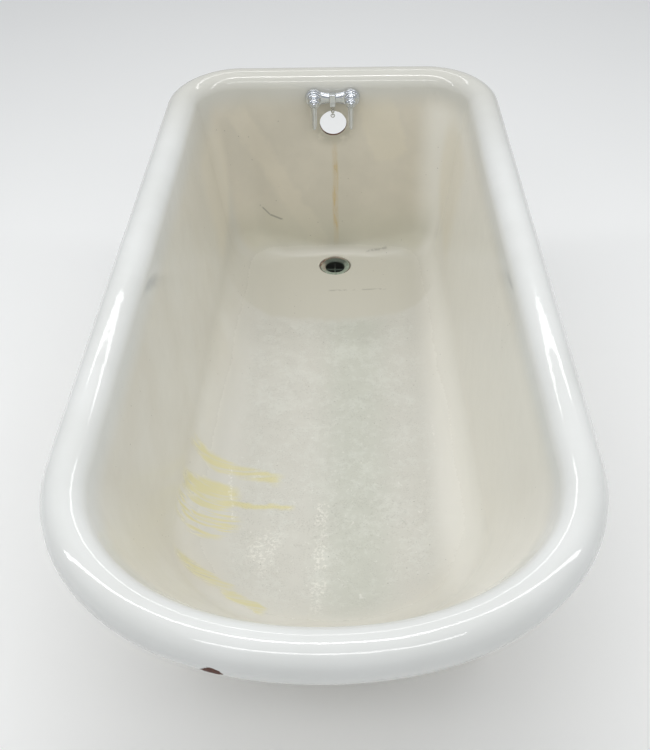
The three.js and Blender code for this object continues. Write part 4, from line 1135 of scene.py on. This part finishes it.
def toe(angle):
    """A toe from the ankle over the ball, with a knuckle, ending in a talon."""
    reach = BALL_RADIUS
    parts = chain_of_balls([
        (0.010, 0.062, 0.009, 0.008), (0.021, 0.055, 0.0085, 0.0075), (reach - 0.002, 0.043, 0.009, 0.008),
        (reach + 0.001, 0.032, 0.007, 0.0062), (reach + 0.0005, 0.022, 0.0072, 0.0062),
        (reach - 0.003, 0.012, 0.0045, 0.0038), (reach - 0.008, 0.004, 0.0022, 0.002),
    ])
    for part in parts:
        part.data.transform(Matrix.Rotation(angle, 4, "Z"))
    return parts


def foot_casting():
    """Ball gripped by four toes, leg, knee and the ear that bolts to the tub, in the foot's own frame."""
    ball_z = BALL_RADIUS - SOLE_CUT
    ear_top = PAD_Z - GAP
    parts = [leg(), ball("ball", (BALL_RADIUS,) * 3, (0, 0, ball_z), sides=64)]
    for angle in (-58, 0, 58, 180):
        parts += toe(math.radians(angle))
    parts.append(box_piece(
        "ear", (-STUD_SETBACK - PAD_LENGTH / 2, -PAD_WIDTH / 2 + 3 * MM, ear_top - EAR_THICKNESS),
        (-STUD_SETBACK + PAD_LENGTH / 2 + 6 * MM, PAD_WIDTH / 2 - 3 * MM, ear_top), 3 * MM,
    ))
    for side in (-1, 1):
        parts.append(ball("scroll", (0.012, 0.009, 0.012), (-0.004, side * 0.047, 0.138), sides=24))
    casting = melted(merged_islands("foot", parts), 1.8 * MM, 4)
    cut(
        casting,
        box_piece("below_floor", (-0.2, -0.2, -0.1), (0.2, 0.2, 0), 0),
        box_piece("above_ear", (-0.2, -0.2, ear_top), (-STUD_SETBACK + PAD_LENGTH / 2 + MM, 0.2, 0.3), 0),
        rod("nut_room", 14.5 * MM, 0.06, ear_top - EAR_THICKNESS, Matrix.Translation((-STUD_SETBACK, 0, 0))),
    )
    return casting


def build_feet():
    casting = foot_casting()
    for name in FOOT_NAMES:
        foot = new_object("claw_foot_" + name, [], [])
        foot.data = casting.data.copy()
        foot.data.transform(foot_place(name))
        under = lofted("underside", [*floor_rings(WALL + 0.8 * MM, 3), *basin_rings(WALL + 0.8 * MM, 10, 6)])
        cut(foot, under)
        dressed(foot, feet_paint, 50)
        finished(foot, "tub", "painted_iron", "foot_" + name)
    bpy.data.objects.remove(casting)


def build_foot_fixings():
    for name in FOOT_NAMES:
        place = foot_place(name) @ Matrix.Translation((-STUD_SETBACK, 0, 0))
        low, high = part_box("foot_stud_" + name)
        stud = lathe("stud_" + name, [
            (0, low.z), (5 * MM, low.z), (6 * MM, low.z + MM), (6 * MM, high.z), (0, high.z),
        ], [rusty_steel], 32, place)
        finished(stud, "tub", "steel", "foot_stud_" + name)
        low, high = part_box("foot_washer_" + name)
        bore = 6.4 * MM
        washer = flat_ring(
            "washer_" + name, bore, FOOT_WASHER_RADIUS, low.z, high.z, [rusty_steel], 48, place, 0.5 * MM,
        )
        finished(washer, "tub", "steel", "foot_washer_" + name)
        low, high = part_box("foot_nut_" + name)
        nut = hex_nut("nut_" + name, FOOT_NUT_FLATS, bore, low.z, high.z, place, [rusty_steel])
        finished(nut, "tub", "steel", "foot_nut_" + name)


build_feet()
build_foot_fixings()


# ---------------------------------------------------------------- waste

def crusted(point):
    """How far corrosion lifts or eats the waste's surface at a point."""
    lump = noise.noise(point * 180) + 0.5 * noise.noise(point * 420)
    return Vector((0, 0, 0.45 * MM * lump)) if point.z > -3 * MM else Vector()


def build_waste():
    place = Matrix.Translation((0, WASTE_Y, FLOOR_Z))
    flange = lathe("waste_flange", [
        (WASTE_BORE_RADIUS, -WASTE_TUBE_LENGTH), (WASTE_TUBE_RADIUS, -WASTE_TUBE_LENGTH),
        (WASTE_TUBE_RADIUS, -2.6 * MM), (WASTE_RADIUS - 0.2 * MM, -2.6 * MM),
        (WASTE_RADIUS - 0.2 * MM, -1.4 * MM),
        (WASTE_RADIUS - 4 * MM, -0.2 * MM), (WASTE_BORE_RADIUS + 6 * MM, -0.8 * MM),
        (WASTE_BORE_RADIUS + 2.5 * MM, -2.2 * MM), (WASTE_BORE_RADIUS, -5 * MM),
        (WASTE_BORE_RADIUS, -WASTE_TUBE_LENGTH),
    ], [corroded_brass], 128, Matrix(), 0.6 * MM, crusted)
    reach = WASTE_BORE_RADIUS + MM
    bars = [
        box_piece("bar", (-reach, -1.6 * MM, -13.6 * MM), (reach, 1.6 * MM, -10.4 * MM), 0.7 * MM,
                  Matrix.Rotation(turn, 4, "Z"), [corroded_brass])
        for turn in (0, math.pi / 2)
    ]
    joined(flange, *bars)
    flange.data.transform(place)
    smooth(flange, 40)
    finished(flange, "tub", "corroded_brass", "drain_flange")
    bore = WASTE_TUBE_RADIUS + GAP
    for name, node, radius in (
        ("waste_gasket", "drain_gasket", WASTE_RADIUS - MM), ("waste_washer", "drain_washer", WASTE_RADIUS),
    ):
        low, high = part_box(node)
        ring = flat_ring(
            name, bore, radius, low.z, high.z, [rubber], 96, Matrix.Translation((0, WASTE_Y, 0)),
        )
        finished(ring, "tub", "rubber", node)
    low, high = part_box("drain_locknut")
    nut = hex_nut(
        "waste_locknut", WASTE_NUT_FLATS, bore, low.z, high.z,
        Matrix.Translation((0, WASTE_Y, 0)), [brass],
    )
    finished(nut, "tub", "brass", "drain_locknut")


build_waste()


# ---------------------------------------------------------------- bath cock
# Its frame's origin is on the wall's inner face between the shanks, with -Y into the tub.
# A valve's frame has +Z out of the wall into the tub and -Y down the lever.

TAP_FRAME = (
    Matrix.Translation((0, tap_wall_y(RIM_HEIGHT - TAP_DROP), RIM_HEIGHT - TAP_DROP))
    @ Matrix.Rotation(-tap_wall_lean, 4, "X")
)


def valve_frame(side):
    return Matrix.Translation((side * TAP_CENTRES / 2, 0, 0)) @ Matrix.Rotation(math.pi / 2, 4, "X")


def shank_frame(side):
    return Matrix.Translation((side * TAP_CENTRES / 2, 0, 0)) @ Matrix.Rotation(-math.pi / 2, 4, "X")


BARREL_RADIUS = 20 * MM
BARREL_LENGTH = 20 * MM
FLANGE_BACK = 2.6 * MM
SHANK_REACH = 21 * MM
SHANK_RADIUS = 9.5 * MM
SHANK_BORE = 6 * MM
SOCKET_RADIUS = 10 * MM
SOCKET_FLOOR = 4 * MM
BRIDGE_OUT = 11.5 * MM
BRIDGE_HALF_DEPTH = 8.5 * MM
BRIDGE_MIDDLE = 10 * MM  # half heights of the bow-tie
BRIDGE_END = 19.4 * MM
LEVER_HUB_RADIUS = 12 * MM


def bridge():
    """Bow-tie bar between the barrels, tall at its ends and slim in the middle."""
    rings = []
    for k in range(41):
        share = 2 * k / 40 - 1
        half_height = BRIDGE_MIDDLE + (BRIDGE_END - BRIDGE_MIDDLE) * abs(share) ** 1.6
        rings.append([(
            share * TAP_CENTRES / 2,
            BRIDGE_HALF_DEPTH * math.cos(2 * math.pi * i / 48) - BRIDGE_OUT,
            half_height * math.sin(2 * math.pi * i / 48),
        ) for i in range(48)])
    return lofted("bridge", rings)


def barrel(side):
    return lathe("barrel", [
        (0, FLANGE_BACK), (BARREL_RADIUS - 2 * MM, FLANGE_BACK), (BARREL_RADIUS - MM, FLANGE_BACK + 2 * MM),
        (BARREL_RADIUS, BARREL_LENGTH * 0.45), (BARREL_RADIUS - 0.6 * MM, BARREL_LENGTH * 0.75),
        (BARREL_RADIUS - 3 * MM, BARREL_LENGTH), (0, BARREL_LENGTH),
    ], (), 64, valve_frame(side), 1.2 * MM)


def build_tap_body():
    lug = box_piece("lug", (-6.5 * MM, -24 * MM, -15.5 * MM), (6.5 * MM, -8 * MM, 12 * MM), 1.2 * MM)
    casting = merged_islands("tap_casting", [bridge(), barrel(-1), barrel(1), lug])
    melted(casting, 0.55 * MM, 5)
    cut(casting, *[
        rod("socket", SOCKET_RADIUS, SOCKET_FLOOR, BARREL_LENGTH + 2 * MM, valve_frame(side))
        for side in (-1, 1)
    ])
    cut(casting, rod("outlet", 4 * MM, -17 * MM, -4 * MM, Matrix.Translation((0, -12 * MM, 0)), 32))
    joined(casting, *[
        rod("shank", SHANK_RADIUS, -FLANGE_BACK - MM, SHANK_REACH, shank_frame(side))
        for side in (-1, 1)
    ])
    cut(casting, *[
        rod("bore", SHANK_BORE, -FLANGE_BACK - 2 * MM, SHANK_REACH + MM, shank_frame(side))
        for side in (-1, 1)
    ])
    casting.data.transform(TAP_FRAME)
    dressed(casting, chrome, 40)
    finished(casting, "tub", "chrome", "tap_body")


BONNET_SEAT = BARREL_LENGTH + GAP
BONNET_TOP = BONNET_SEAT + 6 * MM
PACKING_TOP = BONNET_TOP + GAP + 3.2 * MM
HUB_FROM = PACKING_TOP + GAP
HUB_HALF = 8 * MM
HUB_CENTRE = HUB_FROM + HUB_HALF
HUB_TO = HUB_CENTRE + HUB_HALF
STEM_TOP = HUB_CENTRE + HUB_HALF / 2
STEM_BORE = 4.3 * MM


def build_valve(water, side):
    place = TAP_FRAME @ valve_frame(side)
    handle = water + "_handle"
    skirt = 9.7 * MM
    bonnet = lathe(water + "_dome", [
        (STEM_BORE, BONNET_SEAT - 6 * MM), (skirt, BONNET_SEAT - 6 * MM), (skirt, BONNET_SEAT),
        (14.5 * MM, BONNET_SEAT), (13.9 * MM, BONNET_SEAT + 2 * MM), (11.5 * MM, BONNET_SEAT + 4.2 * MM),
        (8.5 * MM, BONNET_TOP), (STEM_BORE, BONNET_TOP), (STEM_BORE, BONNET_SEAT - 6 * MM),
    ], [chrome], 96, place, 1.4 * MM)
    finished(bonnet, "tub", "chrome", water + "_bonnet")
    packing = hex_nut(
        water + "_gland_nut", 14 * MM, STEM_BORE, BONNET_TOP + GAP, PACKING_TOP, place, [chrome],
    )
    finished(packing, "tub", "chrome", water + "_packing_nut")
    stem = lathe(water + "_spindle", [
        (0, 8.6 * MM), (9 * MM, 8.6 * MM), (9 * MM, 11.6 * MM), (4 * MM, 12.6 * MM), (4 * MM, STEM_TOP),
        (0, STEM_TOP),
    ], [brass], 48, place)
    finished(stem, handle, "brass", water + "_stem")
    washer = lathe(water + "_seat_washer", [
        (0, 5.1 * MM), (9 * MM, 5.1 * MM), (9 * MM, 8.3 * MM), (0, 8.3 * MM),
    ], [rubber], 48, place)
    finished(washer, handle, "rubber", water + "_valve_washer")
    build_lever(water, handle, place)


def build_lever(water, handle, place):
    """Round hub with a tapered arm that hangs from it, and the screw that holds it."""
    radius = LEVER_HUB_RADIUS
    hub = lathe("hub", [
        (0, HUB_FROM), (7 * MM, HUB_FROM), (radius - 1.4 * MM, HUB_CENTRE - HUB_HALF * 0.55),
        (radius, HUB_CENTRE), (radius - 1.4 * MM, HUB_CENTRE + HUB_HALF * 0.55),
        (7.5 * MM, HUB_TO - MM), (6 * MM, HUB_TO), (0, HUB_TO),
    ], (), 64, Matrix(), 1.5 * MM)
    along_arm = Matrix.Translation((0, 0, HUB_CENTRE)) @ Matrix.Rotation(math.pi / 2, 4, "X")
    arm = lathe("arm", [
        (0, 2 * MM), (6.2 * MM, 2 * MM), (6.2 * MM, 13 * MM), (5.3 * MM, 24 * MM), (5.0 * MM, 40 * MM),
        (4.6 * MM, 54 * MM), (3.9 * MM, 58.6 * MM), (1.8 * MM, 61 * MM), (0, 61 * MM),
    ], (), 40, along_arm, 2 * MM)
    lever = melted(merged_islands(water + "_handle_lever", [hub, arm]), 0.5 * MM, 5)
    cut(
        lever,
        rod("stem_room", STEM_BORE, HUB_FROM - MM, STEM_TOP + GAP),
        rod("screw_room", 4.9 * MM, HUB_TO - 1.5 * MM, HUB_TO + 2 * MM),
    )
    lever.data.transform(place)
    dressed(lever, chrome, 45)
    finished(lever, handle, "chrome", water + "_lever")
    head_from = HUB_TO - 1.2 * MM
    screw = lathe(water + "_handle_screw", [
        (0, STEM_TOP + GAP), (1.9 * MM, STEM_TOP + GAP), (1.9 * MM, head_from), (4.6 * MM, head_from),
        (4.2 * MM, head_from + 1.8 * MM), (2.4 * MM, head_from + 2.9 * MM), (0, head_from + 3 * MM),
    ], [chrome], 40, Matrix(), 0.5 * MM)
    slot_from = head_from + 1.7 * MM
    slot_cutter = box_piece("screw_slot", (-0.01, -0.55 * MM, slot_from), (0.01, 0.55 * MM, 0.1), 0)
    slot_cutter.data.transform(Matrix.Rotation(0.5, 4, "Z"))
    cut(screw, slot_cutter)
    screw.data.transform(place)
    smooth(screw, 35)
    finished(screw, handle, "chrome", water + "_lever_screw")


BACK_WASHER_Y = 6.6 * MM
GASKET = 2 * MM
LOCKNUT_Y = BACK_WASHER_Y + GASKET + GAP
COUPLING_Y = LOCKNUT_Y + 6 * MM + GAP
COUPLING_LENGTH = 12 * MM
TAILPIECE_RADIUS = 6.35 * MM
TAILPIECE_BORE = 4.6 * MM
TAILPIECE_BEND = 12 * MM
TAILPIECE_DROP = 45 * MM


def pipe(name, centres, outer, inner, materials):
    """A bent tube of one wall along the centres, with open ends."""
    count = len(centres)
    sides = 32
    rings = []
    for radius, order in ((outer, range(count)), (inner, reversed(range(count)))):
        for k in order:
            ahead = centres[min(k + 1, count - 1)] - centres[max(k - 1, 0)]
            out = Vector((1, 0, 0))
            side = ahead.normalized().cross(out)
            turns = [2 * math.pi * i / sides for i in range(sides)]
            rings.append([
                centres[k] + (out * math.cos(turn) + side * math.sin(turn)) * radius for turn in turns
            ])
    vertices = [point for ring in rings for point in ring]
    faces = []
    for level in range(len(rings)):
        high = (level + 1) % len(rings) * sides
        for i in range(sides):
            on = (i + 1) % sides
            faces.append((level * sides + i, level * sides + on, high + on, high + i))
    return outward(new_object(name, vertices, faces, materials))


def build_connections(water, side):
    """Gasket, washer, nuts and the bent pipe behind the wall."""
    place = TAP_FRAME @ shank_frame(side)
    bore = SHANK_HOLE_RADIUS
    gasket = flat_ring(water + "_gasket", bore, 17 * MM, -2.3 * MM, -GAP, [rubber], 64, place)
    finished(gasket, "tub", "rubber", water + "_wall_gasket")
    washer_end = BACK_WASHER_Y + GASKET
    washer = flat_ring(water + "_washer", bore, 13.5 * MM, BACK_WASHER_Y, washer_end, [rubber], 64, place)
    finished(washer, "tub", "rubber", water + "_back_washer")
    locknut = hex_nut(water + "_shank_nut", 26 * MM, bore, LOCKNUT_Y, LOCKNUT_Y + 6 * MM, place, [brass])
    finished(locknut, "tub", "brass", water + "_locknut")
    coupling = hex_nut(
        water + "_union_nut", 25 * MM, 6.65 * MM, COUPLING_Y, COUPLING_Y + COUPLING_LENGTH, place, [brass],
    )
    cut_from = rod("room", bore, COUPLING_Y - MM, SHANK_REACH + 2.6 * MM, place)
    cut(coupling, cut_from)
    smooth(coupling, 30)
    finished(coupling, "tub", "brass", water + "_coupling_nut")
    bend_start = COUPLING_Y + COUPLING_LENGTH
    centres = [Vector((0, SHANK_REACH + GAP, 0)), Vector((0, bend_start - 2 * MM, 0))]
    corner = Vector((0, bend_start + TAILPIECE_BEND, 0))
    for step in range(13):
        share = step / 12
        begin = Vector((0, bend_start, 0))
        end = corner - Vector((0, 0, TAILPIECE_BEND))
        centres.append(begin.lerp(corner, share).lerp(corner.lerp(end, share), share))
    centres.append(corner - Vector((0, 0, TAILPIECE_BEND + TAILPIECE_DROP)))
    tail = pipe(water + "_pipe", centres, TAILPIECE_RADIUS, TAILPIECE_BORE, [brass])
    collar = flat_ring(
        "collar", 5.4 * MM, 9.2 * MM, SHANK_REACH + GAP, SHANK_REACH + 2.3 * MM, [brass], 48,
        Matrix.Rotation(-math.pi / 2, 4, "X"), 0.2 * MM,
    )
    joined(tail, collar)
    tail.data.transform(TAP_FRAME @ Matrix.Translation((side * TAP_CENTRES / 2, 0, 0)))
    smooth(tail, 40)
    finished(tail, "tub", "brass", water + "_tailpiece")


build_tap_body()
for water, side in (("hot", -1), ("cold", 1)):
    build_valve(water, side)
    build_connections(water, side)


# ---------------------------------------------------------------- plug chain

WIRE = 0.95 * MM
LOOP = 2.6 * MM
BEAD = 3.8 * MM
END_RING = 3.8 * MM
CHAIN_Y = -19 * MM
STAY_Z = -15.5 * MM - GAP - WIRE - LOOP
BEAD_PIVOT_Z = STAY_Z - LOOP + 2 * WIRE + GAP
BEAD_Z = BEAD_PIVOT_Z - 2 * LOOP - BEAD + WIRE
BEAD_LOOP_Z = BEAD_Z - BEAD - LOOP + WIRE
RING_PIVOT_Z = BEAD_LOOP_Z - LOOP + 2 * WIRE + GAP


def chain_loop(radius, z, facing_x):
    turn = Matrix.Rotation(math.pi / 2, 4, "Y" if facing_x else "X")
    return wire_loop("loop", radius, WIRE, TAP_FRAME @ Matrix.Translation((0, CHAIN_Y, z)) @ turn, [nickel])


def build_chain():
    stay = chain_loop(LOOP, STAY_Z, True)
    post = rod("post", 1.2 * MM, STAY_Z + LOOP - WIRE / 2, -10.5 * MM,
               TAP_FRAME @ Matrix.Translation((0, CHAIN_Y, 0)), 24, [nickel])
    joined(stay, post)
    stay.name = "chain_eye"
    smooth(stay)
    finished(stay, "tub", "nickel", "chain_stay")
    bead = ball("chain_ball", (BEAD,) * 3, (0, CHAIN_Y, BEAD_Z), TAP_FRAME, 40)
    bead.data.materials.append(nickel)
    joined(bead, chain_loop(LOOP, BEAD_PIVOT_Z - LOOP, False), chain_loop(LOOP, BEAD_LOOP_Z, True))
    smooth(bead)
    finished(bead, "bead", "nickel", "chain_bead")
    ring = chain_loop(END_RING, RING_PIVOT_Z - END_RING, False)
    ring.name = "chain_end_ring"
    finished(ring, "end_ring", "nickel", "chain_ring")


build_chain()


# ---------------------------------------------------------------- floor, light and camera

def floor_material():
    s = Shader("studio_floor")
    cloud = s.noise(1.5, 3.0)
    return s.finish(s.blend(cloud, "FAFAF9", "F7F7F6"), s.add(0.75, s.times(cloud, 0.1)))


def build_floor():
    reach = 9.0
    floor = new_object("studio_floor", [
        (-reach, -reach, 0), (reach, -reach, 0), (reach, reach, 0), (-reach, reach, 0),
    ], [(0, 1, 2, 3)], [floor_material()])


STRIP_WIDTH = 0.24


def area_light(name, place, target, size, watts, colour=(1, 1, 1)):
    light = bpy.data.lights.new(name, "AREA")
    light.shape = "RECTANGLE"
    light.size, light.size_y = size
    light.energy = watts
    light.color = colour
    lamp = bpy.data.objects.new(name, light)
    lamp.location = place
    lamp.rotation_euler = (Vector(target) - Vector(place)).to_track_quat("-Z", "Y").to_euler()
    scene.collection.objects.link(lamp)


def build_lights():
    world = bpy.data.worlds.new("studio")
    world.use_nodes = True
    background = world.node_tree.nodes["Background"]
    background.inputs["Color"].default_value = (0.94, 0.97, 1.0, 1)
    background.inputs["Strength"].default_value = 0.46
    scene.world = world
    area_light("ceiling", (0, -0.8, 3.4), (0, -0.2, 0), (3.6, 4.2), 12)
    for number, (x, watts) in enumerate(((-1.35, 28), (1.30, 21))):
        area_light(f"long_strip_{number}", (x, 0.0, 2.9), (x * 0.3, 0.0, 0.5), (STRIP_WIDTH, 4.4), watts)
    for number, (y, watts) in enumerate(((-2.0, 15), (2.5, 11))):
        area_light(f"cross_strip_{number}", (0.1, y, 2.8), (0.1, y * 0.3, 0.5), (3.2, STRIP_WIDTH), watts)


def build_camera():
    """The camera looks down the tub from beyond its head end."""
    place = Vector((0.041341, -1.475900, 1.646700))
    pitch, yaw, roll = 0.715, -0.034, -0.027
    forward = Vector((math.sin(yaw) * math.cos(pitch), math.cos(yaw) * math.cos(pitch), -math.sin(pitch)))
    level = Vector((math.cos(yaw), -math.sin(yaw), 0))
    upright = level.cross(forward)
    right = level * math.cos(roll) + upright * math.sin(roll)
    up = upright * math.cos(roll) - level * math.sin(roll)
    camera = bpy.data.cameras.new("camera")
    camera.lens = 52.69
    camera.sensor_width = 36
    camera.clip_end = 50
    holder = bpy.data.objects.new("camera", camera)
    holder.matrix_world = Matrix((
        (right.x, up.x, -forward.x, place.x),
        (right.y, up.y, -forward.y, place.y),
        (right.z, up.z, -forward.z, place.z),
        (0, 0, 0, 1),
    ))
    scene.collection.objects.link(holder)
    scene.camera = holder


build_floor()
build_lights()
build_camera()
scene.view_settings.view_transform = "Standard"
